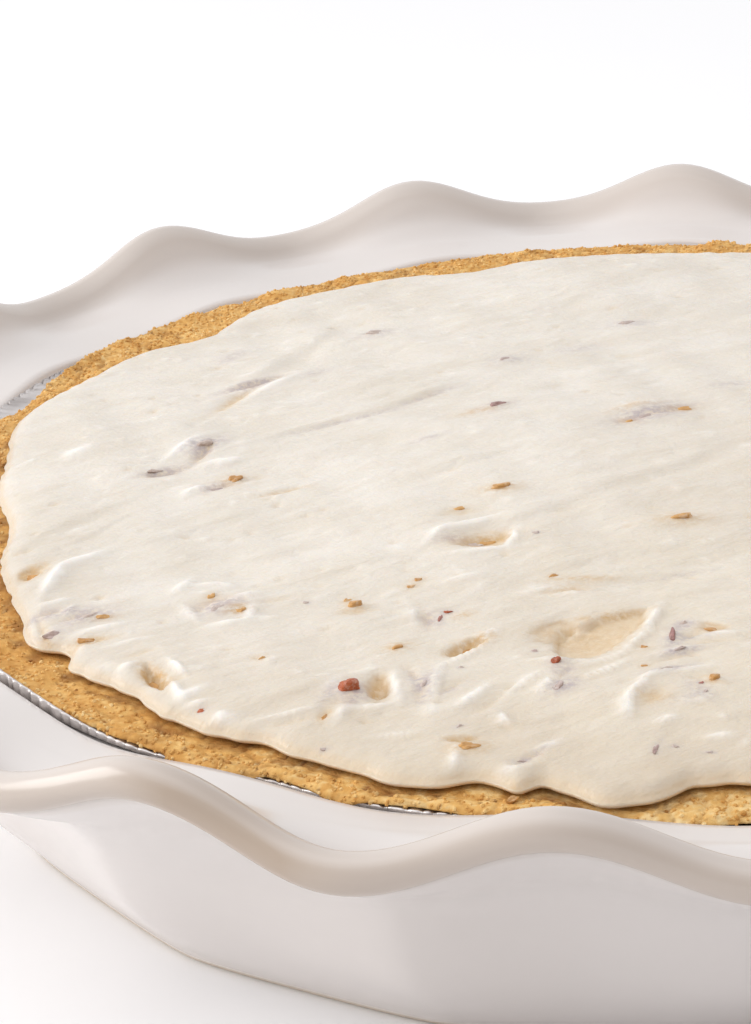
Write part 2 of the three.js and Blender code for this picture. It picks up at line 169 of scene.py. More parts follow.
class Finish:
    def __init__(self, name):
        self.material = bpy.data.materials.new(name)
        self.material.use_nodes = True
        self.nodes = self.material.node_tree.nodes
        self.links = self.material.node_tree.links
        self.shader = self.nodes["Principled BSDF"]
        self.place = self.add("ShaderNodeTexCoord").outputs["Object"]

    def add(self, kind, wires=None, **values):
        node = self.nodes.new(kind)
        for key, value in values.items():
            setattr(node, key, value)
        self.wire(node, wires or {})
        return node

    def wire(self, node, wires):
        for socket, value in wires.items():
            if isinstance(value, bpy.types.NodeSocket):
                self.links.new(value, node.inputs[socket])
            else:
                node.inputs[socket].default_value = value

    def noise(self, size_mm, detail=3.0, rough=0.55, stretch=(1, 1, 1), turn=0.0):
        way = self.place
        if turn:
            way = self.add("ShaderNodeMapping", {"Vector": way, "Rotation": (0, 0, math.radians(-turn))}).outputs[0]
        way = self.add("ShaderNodeMapping", {"Vector": way, "Scale": stretch}).outputs[0]
        wires = {"Vector": way, "Scale": METRE / size_mm, "Detail": detail, "Roughness": rough}
        return self.add("ShaderNodeTexNoise", wires).outputs[0]

    def cells(self, size_mm, feature):
        wires = {"Vector": self.place, "Scale": METRE / size_mm}
        return self.add("ShaderNodeTexVoronoi", wires, feature=feature)

    def painted(self, name):
        return self.add("ShaderNodeAttribute", attribute_name=name).outputs["Fac"]

    def times(self, a, b):
        return self.add("ShaderNodeMath", {0: a, 1: b}, operation="MULTIPLY").outputs[0]

    def fade(self, value, start, end, to=(0.0, 1.0), how="LINEAR"):
        """Turns the way from `start` to `end` into the way between two numbers."""
        wires = {"Value": value, "From Min": start, "From Max": end, "To Min": to[0], "To Max": to[1]}
        return self.add("ShaderNodeMapRange", wires, interpolation_type=how).outputs[0]

    def ramp(self, value, stops):
        node = self.add("ShaderNodeValToRGB", {"Fac": value})
        ends = node.color_ramp.elements
        while len(ends) < len(stops):
            ends.new(0.5)
        for end, (at, colour) in zip(ends, stops):
            end.position = at
            end.color = (*colour, 1) if isinstance(colour, tuple) else (colour, colour, colour, 1)
        return node.outputs[0]

    def mix(self, share, a, b, how="MIX"):
        node = self.add("ShaderNodeMix", data_type="RGBA", blend_type=how)
        a, b = ((*colour, 1) if isinstance(colour, tuple) else colour for colour in (a, b))
        self.wire(node, {"Factor": share, "A": a, "B": b})
        return node.outputs["Result"]

    def bump(self, height, depth_mm, normal=None):
        wires = {"Height": height, "Distance": depth_mm * MM}
        if normal is not None:
            wires["Normal"] = normal
        return self.add("ShaderNodeBump", wires).outputs[0]

    def set(self, **values):
        self.wire(self.shader, {key.replace("_", " "): value for key, value in values.items()})
        return self.material


def srgb(*colour):
    """An 8-bit screen colour as the linear light that shaders use."""
    parts = (c / 255 for c in colour)
    return tuple(c / 12.92 if c <= 0.04045 else ((c + 0.055) / 1.055) ** 2.4 for c in parts)


# %% [markdown]
# ## Small tools for shapes
# The plain model was drawn with seeded waves and a seeded random row, so the
# detailed pieces use the very same ones and land on the same hills and dips.
# A second helper joins stacked rings of points into a closed skin, even where
# one ring has more points than the next.

# %% Random rows and waves


def make_random(seed):
    state = seed & 0xFFFFFFFF

    def draw():
        nonlocal state
        state = (state + 0x6D2B79F5) & 0xFFFFFFFF
        t = state
        t = ((t ^ (t >> 15)) * (t | 1)) & 0xFFFFFFFF
        t = (t ^ (t + (((t ^ (t >> 7)) * (t | 61)) & 0xFFFFFFFF))) & 0xFFFFFFFF
        return ((t ^ (t >> 14)) & 0xFFFFFFFF) / 4294967296

    return draw


def smooth(low, high, x):
    t = np.clip((x - low) / (high - low), 0, 1)
    return t * t * (3 - 2 * t)


def around(t, at, wide):
    """1 at the angle `at`, fading to 0 on both sides of it. Both are in degrees, and t is in radians."""
    away = t - math.radians(at)
    away = np.arctan2(np.sin(away), np.cos(away))
    return np.exp(-((away / math.radians(wide)) ** 2))


def humps(t, rows):
    """Rows of angle, height and width, added up."""
    return sum(high * around(t, at, wide) for at, high, wide in rows)


def waves(seed, count, lowest, highest):
    draw = make_random(seed)
    rows = []
    for _ in range(count):
        k = TAU / (lowest + (highest - lowest) * draw())
        a = TAU * draw()
        rows.append((k * math.cos(a), k * math.sin(a), TAU * draw()))
    return lambda x, y: sum(np.sin(a * x + b * y + c) for a, b, c in rows) * math.sqrt(2 / count)


def round_trip(seed, first, last):
    draw = make_random(seed)
    rows = [(n, TAU * draw(), 0.5 + draw()) for n in range(first, last + 1)]
    norm = math.sqrt(sum(w[2] ** 2 for w in rows) / 2)
    return lambda t: sum(w * np.sin(n * t + a) for n, a, w in rows) / norm


# %% Rings and meshes


def full_circle(count):
    return TAU * np.arange(count) / count


def spot(radius, t, z, centre_x=0.0):
    """Points on a ring: the angle t runs from the front (-Y) towards +X."""
    radius, z = np.broadcast_to(radius, t.shape), np.broadcast_to(z, t.shape)
    return np.stack([radius * np.sin(t) + centre_x, -radius * np.cos(t), z], axis=1)


def stitch(a, b):
    """Triangles between two closed rings of vertex numbers, which may differ in count."""
    i = j = 0
    faces = []
    while i < len(a) or j < len(b):
        if j >= len(b) or (i < len(a) and (i + 1) * len(b) <= (j + 1) * len(a)):
            faces.append((a[i % len(a)], a[(i + 1) % len(a)], b[j % len(b)]))
            i += 1
        else:
            faces.append((a[i % len(a)], b[(j + 1) % len(b)], b[j % len(b)]))
            j += 1
    return faces


def skin(rings, start=None, end=None):
    """A closed skin over a stack of rings; its faces point outwards when the rings run down, in and up."""
    points, faces, first = [], [], 0
    rows = []
    for ring in rings:
        rows.append(list(range(first, first + len(ring))))
        points.append(ring)
        first += len(ring)
    for low, high in zip(rows, rows[1:]):
        if len(low) == len(high):
            n = len(low)
            faces += [(low[i], low[(i + 1) % n], high[(i + 1) % n], high[i]) for i in range(n)]
        else:
            faces += stitch(low, high)
    for row, middle, turn in ((rows[0], start, -1), (rows[-1], end, 1)):
        if middle is not None:
            points.append(np.array([middle]))
            faces += [(first, row[i], row[(i + 1) % len(row)])[::turn] for i in range(len(row))]
            first += 1
    return np.concatenate(points), faces


def make_mesh(name, points, faces, paint=None):
    """A smooth-shaded object at the origin, with one number per vertex for each painted layer."""
    mesh = bpy.data.meshes.new(name)
    mesh.from_pydata((points * MM).tolist(), [], faces)
    mesh.validate()
    for layer, values in (paint or {}).items():
        data = mesh.attributes.new(layer, "FLOAT", "POINT").data
        data.foreach_set("value", np.asarray(values, dtype=np.float32))
    mesh.shade_smooth()
    return link(bpy.data.objects.new(name, mesh))


def volume(thing):
    """The space inside in cubic centimetres; it is negative when the faces point inwards."""
    mesh = thing.data
    mesh.calc_loop_triangles()
    co = np.empty(len(mesh.vertices) * 3)
    mesh.vertices.foreach_get("co", co)
    tri = np.empty(len(mesh.loop_triangles) * 3, dtype=np.int32)
    mesh.loop_triangles.foreach_get("vertices", tri)
    a, b, c = (co.reshape(-1, 3)[tri.reshape(-1, 3)[:, k]] for k in range(3))
    return float(np.einsum("ij,ij->", a, np.cross(b, c)) / 6 * 1e6)


def triangles(thing):
    thing.data.calc_loop_triangles()
    return len(thing.data.loop_triangles)


# %% [markdown]
# ## Small tools for Geometry Nodes
# A node tree is a recipe that stays readable: each size is a named input, and
# the same tree could dress another dish. `Tree` builds one, `apply_tree` sets
# the inputs on a modifier, lets Blender work it out and keeps the result as a
# plain mesh.

# %% Geometry Nodes helpers


class Tree:
    def __init__(self, name, **sizes):
        self.group = bpy.data.node_groups.new(name, "GeometryNodeTree")
        face = self.group.interface
        face.new_socket(name="Geometry", in_out="INPUT", socket_type="NodeSocketGeometry")
        for label, kind in sizes.items():
            face.new_socket(name=label, in_out="INPUT", socket_type="NodeSocket" + kind)
        face.new_socket(name="Geometry", in_out="OUTPUT", socket_type="NodeSocketGeometry")
        self.inputs = self.group.nodes.new("NodeGroupInput").outputs
        self.exit = self.group.nodes.new("NodeGroupOutput").inputs[0]

    def add(self, kind, wires=None, out=0, **values):
        node = self.group.nodes.new(kind)
        for key, value in values.items():
            setattr(node, key, value)
        for socket, value in (wires or {}).items():
            if isinstance(value, bpy.types.NodeSocket):
                self.group.links.new(value, node.inputs[socket])
            else:
                node.inputs[socket].default_value = value
        return node.outputs[out]

    def math(self, how, a, b=None, c=None):
        wires = {i: v for i, v in enumerate((a, b, c)) if v is not None}
        return self.add("ShaderNodeMath", wires, operation=how)

    def times(self, a, b):
        return self.math("MULTIPLY", a, b)

    def layer(self, name, kind="FLOAT"):
        return self.add("GeometryNodeInputNamedAttribute", {"Name": name}, data_type=kind)

    def random(self, kind, low, high, seed):
        out = {"FLOAT_VECTOR": 0, "FLOAT": 1, "INT": 2}[kind]
        return self.add("FunctionNodeRandomValue", {"Min": low, "Max": high, "Seed": seed}, out, data_type=kind)

    def place(self):
        """The three coordinates of each point."""
        here = self.add("GeometryNodeInputPosition")
        return self.add("ShaderNodeSeparateXYZ", {0: here}).node.outputs

    def angle(self, x, y):
        return self.math("ARCTAN2", x, self.times(y, -1.0))

    def move(self, x, y, z):
        """Puts each point in a new place, and ends the tree."""
        to = self.add("ShaderNodeCombineXYZ", {0: x, 1: y, 2: z})
        return self.finish(self.add("GeometryNodeSetPosition", {"Geometry": self.inputs["Geometry"], "Position": to}))

    def scatter(self, points, seed, turn, size):
        """Puts one of the shapes on every point."""
        box = self.add("GeometryNodeCollectionInfo", {
            "Collection": self.inputs["Shapes"], "Separate Children": True, "Reset Children": True,
        })
        return self.add("GeometryNodeInstanceOnPoints", {
            "Points": points, "Instance": box, "Pick Instance": True,
            "Instance Index": self.random("INT", 0, 40, seed),
            "Rotation": self.add("FunctionNodeEulerToRotation", {0: turn}), "Scale": size,
        })

    def finish(self, geometry):
        real = self.add("GeometryNodeRealizeInstances", {"Geometry": geometry})
        done = self.add("GeometryNodeSetMaterial", {"Geometry": real, "Material": self.inputs["Material"]})
        self.group.links.new(done, self.exit)
        return self.group


def apply_tree(thing, group, **sizes):
    """Runs a tree on an object once and leaves a plain mesh behind."""
    step = thing.modifiers.new(group.name, "NODES")
    step.node_group = group
    for item in group.interface.items_tree:
        if item.item_type == "SOCKET" and item.in_out == "INPUT" and item.name in sizes:
            step[item.identifier] = sizes[item.name]
    seen = thing.evaluated_get(bpy.context.evaluated_depsgraph_get())
    plain = bpy.data.meshes.new_from_object(seen)
    thing.modifiers.remove(step)
    plain.name = thing.name
    thing.data = plain
    return thing


# %% [markdown]
# ## Glazed stoneware
# The dish is a warm white stoneware under a thick clear glaze. Glaze is glass:
# smooth, slightly wavy, with sharp but soft-edged reflections, and the clay
# shows as a faintly uneven tint. The lip is painted with a warm shade, fullest
# on its outer face, and where the foot was wiped clean before firing the bare
# clay is matt and a little darker.

# %% Glaze
LIP_SHADE, LIP_SHADE_TINT = 0.68, (0.60, 0.51, 0.42)  # how strong the painted shade on the lip is, and its warm tint
WIPED_FROM, WIPED_TO = 1.1, 0.5  # the heights between which the glaze ends at the foot


def glaze_finish():
    f = Finish("stoneware_glaze")
    colour = f.ramp(f.noise(60, 2.0), [(0.3, srgb(217, 210, 206)), (0.7, srgb(222, 216, 213))])
    height = f.add("ShaderNodeSeparateXYZ", {"Vector": f.place}).outputs["Z"]
    wiped = f.fade(height, WIPED_FROM * MM, WIPED_TO * MM)
    # painted shade: the lip is darkened towards a warm tint
    body = f.mix(1.0, colour, LIP_SHADE_TINT, "MULTIPLY")
    colour = f.mix(f.times(f.painted("lip"), LIP_SHADE), colour, body)
    colour = f.mix(wiped, colour, srgb(206, 190, 172))
    gloss = f.fade(wiped, 0.0, 1.0, (0.24, 0.75))
    ripple = f.bump(f.noise(16, 2.0), 0.10, f.bump(f.noise(1.3, 2.0), 0.004))
    return f.set(Base_Color=colour, Roughness=gloss, Normal=ripple, IOR=1.5, Coat_Weight=0.12, Coat_Roughness=0.12)


GLAZE = glaze_finish()

# %% [markdown]
# ## The ruffled dish
# A potter throws a plain round dish and then pushes its lip into waves. The
# same two steps make it here: a line through named points is turned round the
# axis, and a Geometry Nodes tree called *ruffle* lifts, sways and flutes it.
# Painted layers say how far the wave and the flutes reach down the wall, and
# how much painted shade each point of the lip takes.

# %% Dish sizes
LOBES, LOBE_TURN = 16, math.radians(7)
DISH_COLUMNS, OUTER_STEPS, LIP_STEPS, INNER_STEPS = 480, 30, 19, 64
FOOT, FLOOR_TOP, FLOOR_RADIUS = 97.3, 6.0, 88.0
RIM_RADIUS, RIM_HEIGHT, LIP_RADIUS = 128.4, 42.3, 2.6
RISE, RISE_SHARP, SWAY, SWAY_SHARP = 3.4, 0.25, 0.4, 0.45
OUTER_LINE = [
    (FOOT + 0.4, 1.6), (104.4, 10.0), (108.6, 18.0), (111.6, 25.0), (115.8, 30.2), (122.2, 34.9),
    (RIM_RADIUS + 0.3, RIM_HEIGHT - LIP_RADIUS + 0.02),
]
INNER_LINE = [
    (RIM_RADIUS - 2.5, RIM_HEIGHT + 1.5), (123.2, 40.9), (119.5, 39.1), (115.8, 38.45), (112.5, 38.08),
    (112.25, 37.9), (112.2, 37.2), (111.9, 36.65), (109.3, 36.2), (107.9, 35.0), (106.8, 31.5), (105.4, 27.0),
    (103.0, 20.5), (99.4, 14.0), (94.4, 8.2), (FLOOR_RADIUS, FLOOR_TOP),
]
LEDGE_SHARE = 0.2  # how much of the lip's wave the ledge inside it follows
LEDGE_LIFTS = [(-5, 0.6, 22)]  # angle, how high, how wide
SHADED_FLANKS = [(-21.5, 0.8, 4.5)]  # angle, how much deeper the painted shade on the lip is, how wide
TIN_X = 4.0  # the tin stands a little to the right in the dish


def soft_line(points, count):
    """A smooth line through the points, cut into evenly spaced steps."""
    p = np.array([points[0], *points, points[-1]], dtype=float)
    fine = []
    for k in range(len(points) - 1):
        for s in np.linspace(0, 1, 40, endpoint=False):
            a, b, c, d = p[k], p[k + 1], p[k + 2], p[k + 3]
            v0, v1 = (c - a) / 2, (d - b) / 2
            fine.append((2 * b - 2 * c + v0 + v1) * s**3 + (-3 * b + 3 * c - 2 * v0 - v1) * s**2 + v0 * s + b)
    fine.append(p[-1])
    fine = np.array(fine)
    run = np.concatenate([[0], np.cumsum(np.linalg.norm(np.diff(fine, axis=0), axis=1))])
    steps = np.linspace(0, run[-1], count)
    return np.stack([np.interp(steps, run, fine[:, 0]), np.interp(steps, run, fine[:, 1])], axis=1)


def flute_depth(z):
    return 0.5 + 1.1 * smooth(0, 14, z) - 1.1 * smooth(24, RIM_HEIGHT, z)


# %% Turn the dish's line round its axis


def on_ledge(z):
    return smooth(36.9, 38.0, z)


def dish_rows():
    """Each ring: radius, height, share of the wave, depth of the flutes, how far aside, how much painted shade it
    takes on the lip.
    """
    rows = [(r, 0.0, 0, flute, 0, 0) for r, flute in ((2.0, 0), (45.0, 0), (88.0, 0.3), (FOOT - 2.0, 0.5))]
    rows += [(FOOT - 0.9, 0.1, 0, 0.5, 0, 0), (FOOT - 0.2, 0.45, 0, 0.55, 0, 0), (FOOT, 1.0, 0, 0.6, 0, 0)]
    for r, z in soft_line(OUTER_LINE, OUTER_STEPS):
        rows.append((r, z, smooth(24, RIM_HEIGHT - 0.6, z), flute_depth(z), 0, 0.8 * smooth(37.5, 39.8, z)))
    for deg in np.linspace(-72, 108, LIP_STEPS):
        a = math.radians(deg)
        r, z = RIM_RADIUS + LIP_RADIUS * math.cos(a), RIM_HEIGHT + LIP_RADIUS * math.sin(a)
        rows.append((r, z, 1, 0.3, 0, 0.6 + 0.4 * smooth(66, 30, deg)))
    outside = len(rows)
    for r, z in soft_line(INNER_LINE, INNER_STEPS):
        share = max(LEDGE_SHARE * on_ledge(z), smooth(37.8, RIM_HEIGHT - 0.3, z))
        depth = 0.7 * flute_depth(z) * smooth(5, 9, z) * (1 - 0.9 * smooth(30, 35, z) * smooth(41.5, 39.5, z))
        aside = TIN_X * smooth(30, 35, z) * smooth(123, 116, r)
        rows.append((r, z, share, depth, aside, 0.6 * smooth(121.5, 125.5, r)))
    rows += [(r, FLOOR_TOP, 0, 0, 0, 0) for r in (70.0, 35.0, 2.0)]
    return rows, outside


def turn_dish():
    t = full_circle(DISH_COLUMNS)
    rows, outside = dish_rows()
    lift = humps(t, LEDGE_LIFTS)
    rings = [spot(r, t, z + lift * (on_ledge(z) * smooth(126, 121, r)), aside) for r, z, _, _, aside, _ in rows]
    points, faces = skin(rings, (0, 0, 0), (0, 0, FLOOR_TOP))
    layers = {}
    for name, k in (("wave", 2), ("flute", 3), ("lip", 5)):
        layers[name] = np.concatenate([np.repeat([float(row[k]) for row in rows], DISH_COLUMNS), [0, 0]])
    # a deeper painted shade on one flank of the lip's wave
    layers["lip"][:outside * DISH_COLUMNS] *= 1 + np.tile(humps(t, SHADED_FLANKS), outside)
    return make_mesh("ruffled_dish", points, faces, layers)


# %% The ruffle tree


def ruffle_tree():
    g = Tree("ruffle", Lobes="Float", Turn="Float", Rise="Float", Rise_Sharp="Float", Sway="Float",
             Sway_Sharp="Float", Material="Material")
    x, y, z = g.place()
    r = g.math("SQRT", g.math("MULTIPLY_ADD", x, x, g.times(y, y)))
    u = g.times(g.inputs["Lobes"], g.math("SUBTRACT", g.angle(x, y), g.inputs["Turn"]))
    once, twice = g.math("COSINE", u), g.math("COSINE", g.times(u, 2.0))
    sway = g.math("MULTIPLY_ADD", g.inputs["Sway"], once, g.times(g.inputs["Sway_Sharp"], twice))
    rise = g.math("MULTIPLY_ADD", g.times(g.inputs["Rise"], -1.0), once, g.times(g.inputs["Rise_Sharp"], twice))
    arch = g.math("POWER", g.math("ABSOLUTE", g.math("SINE", g.times(u, 0.5))), 1.3)
    flute = g.math("MULTIPLY_ADD", arch, -2.0, 1.0)
    grow = g.math("MULTIPLY_ADD", g.layer("wave"), sway, g.times(g.times(flute, g.layer("flute")), MM))
    share = g.math("ADD", 1.0, g.math("DIVIDE", grow, g.math("MAXIMUM", r, MM)))
    lift = g.math("MULTIPLY_ADD", g.layer("wave"), rise, z)
    return g.move(g.times(x, share), g.times(y, share), lift)


dish = apply_tree(
    turn_dish(), ruffle_tree(), Lobes=float(LOBES), Turn=LOBE_TURN, Rise=RISE * MM, Rise_Sharp=RISE_SHARP * MM,
    Sway=SWAY * MM, Sway_Sharp=SWAY_SHARP * MM, Material=GLAZE,
)
print("dish:", triangles(dish), "triangles,", round(volume(dish)), "cm3 of stoneware")

# %% [markdown]
# ## Crimped foil
# A ready-made crust comes in a tin pressed from thin aluminium. Its edge is
# gathered into hundreds of small crimps, so it glitters in light and dark
# patches. Metal has no colour of its own beyond its reflections: what sells
# it is the roughness and the creases.

# %% Foil


def foil_finish():
    f = Finish("crimped_foil")
    tint = f.ramp(f.noise(9, 2.0), [(0.35, srgb(184, 178, 176)), (0.65, srgb(226, 221, 219))])
    crease = f.bump(f.cells(2.6, "DISTANCE_TO_EDGE").outputs["Distance"], 0.25, f.bump(f.noise(1.1, 3.0), 0.12))
    gloss = f.ramp(f.noise(3.5, 2.0), [(0.3, 0.36), (0.7, 0.52)])
    return f.set(Base_Color=tint, Metallic=1.0, Roughness=gloss, Normal=crease)


FOIL = foil_finish()

# %% Where foil and crust end
TIN_EDGE = 111.8
TIN_TUCKS = [  # angle, how far in, how wide: where the foil's edge is pressed in under the crust
    (-28, 1.6, 6.5), (-2, 2.0, 8), (14, 1.2, 9), (64, 1.0, 16), (118, 0.6, 9), (172, 1.0, 12), (-140, 0.7, 10),
]
CRUST_OUTER, CRUST_TRIM, SET_BACK, FOIL_LAP = 111.8, 0.5, 1.3, 0.52
CRUMB_EDGE = round_trip(37, 9, 40)
CRUST_BAYS = [  # angle, how far out, how wide: where the crust reaches further or has broken away
    (-108, -3.4, 9), (-28.5, -0.3, 4), (-14, 0.3, 6), (4, 0.1, 5), (60, 0.3, 14), (140, -1.0, 12),
]


def tin_edge(t):
    return TIN_EDGE - humps(t, TIN_TUCKS)


def crust_outer(t):
    """The crust's outer edge. It fills out to the foil, but for the broken bay at the far left."""
    turn = np.degrees(np.arctan2(np.sin(t), np.cos(t)))
    behind_foil = smooth(-80, -74, turn) * smooth(-38.5, -43, turn)
    out = CRUST_OUTER + 0.35 * CRUMB_EDGE(t) - CRUST_TRIM + humps(t, CRUST_BAYS) - SET_BACK * behind_foil
    return np.where((turn > -88) & (turn < 40), np.maximum(out, tin_edge(t) - FOIL_LAP), out)


# %% Tin sizes and rows
TIN_BASE, TIN_BASE_RADIUS, TIN_WALL_TOP = 6.6, 80.0, 104.6
TIN_EDGE_HEIGHT, TIN_FOIL, TIN_CURL, TIN_ROLL, TIN_STAND = 37.7, 0.4, 0.1, 0.65, 1.9
CRIMPS, CRIMP_STEPS, CRIMP_OUT, CRIMP_UP = 350, 8, 0.20, 0.16
TIN_HIDDEN = 300  # points on a ring that is out of sight


def tin_top(t):
    """The edge's height: it stands up where the crust is set back, at the front left."""
    t = np.arctan2(np.sin(t), np.cos(t))
    stand = smooth(math.radians(-72), math.radians(-64), t) * smooth(math.radians(-36), math.radians(-52), t)
    return TIN_EDGE_HEIGHT + TIN_CURL + TIN_STAND * stand


def tin_rows():
    """Outside then inside: radius, height, how strongly a row is crimped, and its number of points."""
    base, top, foil, low = TIN_BASE, TIN_EDGE_HEIGHT, TIN_FOIL, TIN_EDGE_HEIGHT - TIN_ROLL
    fine, plain = CRIMPS * CRIMP_STEPS, TIN_HIDDEN
    t = full_circle(fine)
    edge, high = tin_edge(t), tin_top(t)
    return [
        (TIN_BASE_RADIUS, base, 0, plain), (TIN_BASE_RADIUS + 2.4, base + 1.6, 0, plain),
        (TIN_WALL_TOP + foil, top - 2.0, 0, plain), (TIN_WALL_TOP + 2.2, top - foil - 0.5, 0, fine),
        (edge - 2.6, top - foil - 0.1, 0.3, fine), (edge - 1.0, top - foil, 0.6, fine),
        (edge - 0.62, low + 0.15, 0.9, fine), (edge - 0.4, low, 1, fine), (edge - 0.1, low + 0.02, 1, fine),
        (edge + 0.03, low + 0.2, 1, fine), (edge + 0.07, 0.6 * low + 0.4 * high, 1, fine),
        (edge + 0.1, 0.2 * low + 0.8 * high, 1, fine), (edge + 0.08, high - 0.12, 1, fine),
        (edge - 0.02, high, 1, fine), (edge - 0.2, high, 0.9, fine), (edge - 0.34, high - 0.12, 0.8, fine),
        (edge - 0.5, 0.4 * top + 0.6 * high - 0.06, 0.7, fine), (edge - 0.9, top, 0.6, fine),
        (edge - 2.2, top - 0.05, 0.5, fine), (edge - 4.0, top - 0.15, 0.3, fine),
        (TIN_WALL_TOP + 1.8, top - 0.5, 0, fine), (TIN_WALL_TOP, top - 1.8, 0, plain),
        (TIN_BASE_RADIUS + 2.2, base + 1.6 + foil, 0, plain), (TIN_BASE_RADIUS - 0.4, base + foil, 0, plain),
    ]


def turn_tin():
    rows = tin_rows()
    angles = [full_circle(row[3]) for row in rows]
    rings = [spot(row[0], t, row[1], TIN_X) for row, t in zip(rows, angles)]
    points, faces = skin(rings, (TIN_X, 0, TIN_BASE), (TIN_X, 0, TIN_BASE + TIN_FOIL))
    crimp = []
    for row, t in zip(rows, angles):
        covered = smooth(-0.2, 0.5, crust_outer(t) - tin_edge(t))
        crimp.append(row[2] * (1 - 0.85 * covered))
    return make_mesh("foil_pie_tin", points, faces, {"crimp": np.concatenate([*crimp, [0, 0]])})


# %% The crimp tree


def crimp_tree():
    g = Tree("crimp", Crimps="Float", Out="Float", Up="Float", Centre_X="Float", Material="Material")
    out_x, y, z = g.place()
    x = g.math("SUBTRACT", out_x, g.inputs["Centre_X"])
    here = g.add("GeometryNodeInputPosition")
    uneven = g.add("ShaderNodeTexNoise", {"Vector": here, "Scale": 130.0, "Detail": 2.0})
    slide = g.times(g.math("SUBTRACT", uneven, 0.5), 16.0)
    u = g.math("MULTIPLY_ADD", g.angle(x, y), g.inputs["Crimps"], slide)
    saw = g.math("MULTIPLY_ADD", g.math("COSINE", g.times(u, 2.0)), 0.28, g.math("SINE", u))
    strong = g.times(g.layer("crimp"), g.times(saw, g.math("MULTIPLY_ADD", uneven, 1.6, 0.2)))
    share = g.math("ADD", 1.0, g.math("DIVIDE", g.times(strong, g.inputs["Out"]), TIN_EDGE * MM))
    lift = g.math("MULTIPLY_ADD", strong, g.inputs["Up"], z)
    return g.move(g.math("MULTIPLY_ADD", x, share, g.inputs["Centre_X"]), g.times(y, share), lift)


tin = apply_tree(
    turn_tin(), crimp_tree(), Crimps=float(CRIMPS), Out=CRIMP_OUT * MM, Up=CRIMP_UP * MM,
    Centre_X=TIN_X * MM, Material=FOIL,
)
print("tin:", triangles(tin), "triangles,", round(volume(tin), 1), "cm3")

# %% [markdown]
# ## Where the cream ends
# The filling is spread by hand, so its edge wanders: wider towards the front,
# with a tongue that runs out over the crust and a few places where it stops
# short. One function gives that edge for every angle, and both the crust and
# the cream use it, so they always meet.

# %% The cream's edge
EDGE_MEAN, EDGE_LEAN = 102.9, 3.8
EDGE_NOISE = round_trip(2870, 7, 26)
SPILLS = [  # angle, how far out, how wide
    (-4, 4.6, 3.8), (3, -1, 3), (-11, -0.8, 2.5), (-19, 2.7, 6), (-34, 1.3, 5), (-26.3, 1.5, 3.2),
    (-33, -1.5, 2.4), (-70, -6.4, 9), (-86, -4, 9), (-127, -3.6, 5), (-160, -2.4, 5),
]
TEARS = [  # small nicks and tongues of the edge, written the same way
    (-49.6, -2.3, 1.2), (-52.3, 0.7, 1), (-45.4, -0.5, 1.6), (-9.8, 2.2, 1), (-11.2, 0.4, 0.8),
    (-6.4, -0.8, 1.3), (-1.4, 0.7, 1), (0.9, -0.8, 0.9), (-43.4, -0.5, 0.7), (-36.9, 0.4, 0.7),
    (-57.5, -0.8, 1.8), (-51.4, -2.2, 1.5), (-40.8, -1.2, 2.4), (-36.4, -0.6, 1.2), (-32.8, 0.8, 1.5),
    (-28, -2.2, 2.3), (-23.7, -1.1, 2), (-20, -1, 1.5), (-15.5, -0.5, 1.8), (-13, -1.4, 1.1),
    (-8.6, -1.2, 1.2), (-2.2, -0.4, 1.4),
]
RAGGED = round_trip(88, 60, 190)


def cream_edge(t):
    wander = EDGE_MEAN + EDGE_LEAN * np.cos(t) + 0.75 * EDGE_NOISE(t) + 0.10 * RAGGED(t)
    return wander + humps(t, SPILLS + TEARS)


# %% [markdown]
# ## Pressed biscuit crumbs
# The crust is biscuit, broken small and pressed with butter. Close up it is a
# field of golden grains from half a millimetre to a millimetre and a half,
# caked into bigger clumps, with cracks between them. Cells of random
# size give that: the distance to the nearest grain's middle shapes the grain,
# and the distance to the border between two grains cuts the cracks. Shade is
# painted into the cracks, the pits and the low places, and light over the front.

# %% Crumb relief
CRUST_TOP, CRUST_GAP = 38.6, 0.3
CRUST_CRAG, CRUST_INNER, CRUST_FLOOR = 0.55, 95.5, 6.5
CRUST_COLUMNS, CRUST_HIDDEN = 1720, 240  # points on a ring of the open rim, and on a hidden one
CRUMB = waves(31, 12, 7, 15)
CLUMP, GRAIN, FINE, KEPT = 4.2, 1.25, 0.66, 0.93  # three sizes of crumb, and the share of the fine ones still in place


def hash01(i, j, k, salt):
    """A steady random number for each cell of a grid."""
    h = (i * 374761393 + j * 668265263 + k * 2147483647 + salt * 1442695041) & 0xFFFFFFFF
    h = ((h ^ (h >> 13)) * 1274126177) & 0xFFFFFFFF
    h = ((h ^ (h >> 16)) * 2246822519) & 0xFFFFFFFF
    return ((h ^ (h >> 15)) & 0xFFFFFFFF) / 4294967296.0


def grains(points, size, salt):
    """For each point: distance to the nearest grain, gap to the second nearest, and the grain's own random number."""
    cell = np.floor(points / size).astype(np.int64)
    near = np.full(len(points), 9.0)
    next_near = near.copy()
    own = np.zeros(len(points))
    for dx in (-1, 0, 1):
        for dy in (-1, 0, 1):
            for dz in (-1, 0, 1):
                i, j, k = cell[:, 0] + dx, cell[:, 1] + dy, cell[:, 2] + dz
                middle = [n + hash01(i, j, k, salt + axis) for axis, n in enumerate((i, j, k))]
                middle = np.stack(middle, axis=1)
                d = np.linalg.norm(points / size - middle, axis=1)
                closer = d < near
                next_near = np.where(closer, near, np.minimum(next_near, d))
                own = np.where(closer, hash01(i, j, k, salt + 3), own)
                near = np.where(closer, d, near)
    return near, next_near - near, own


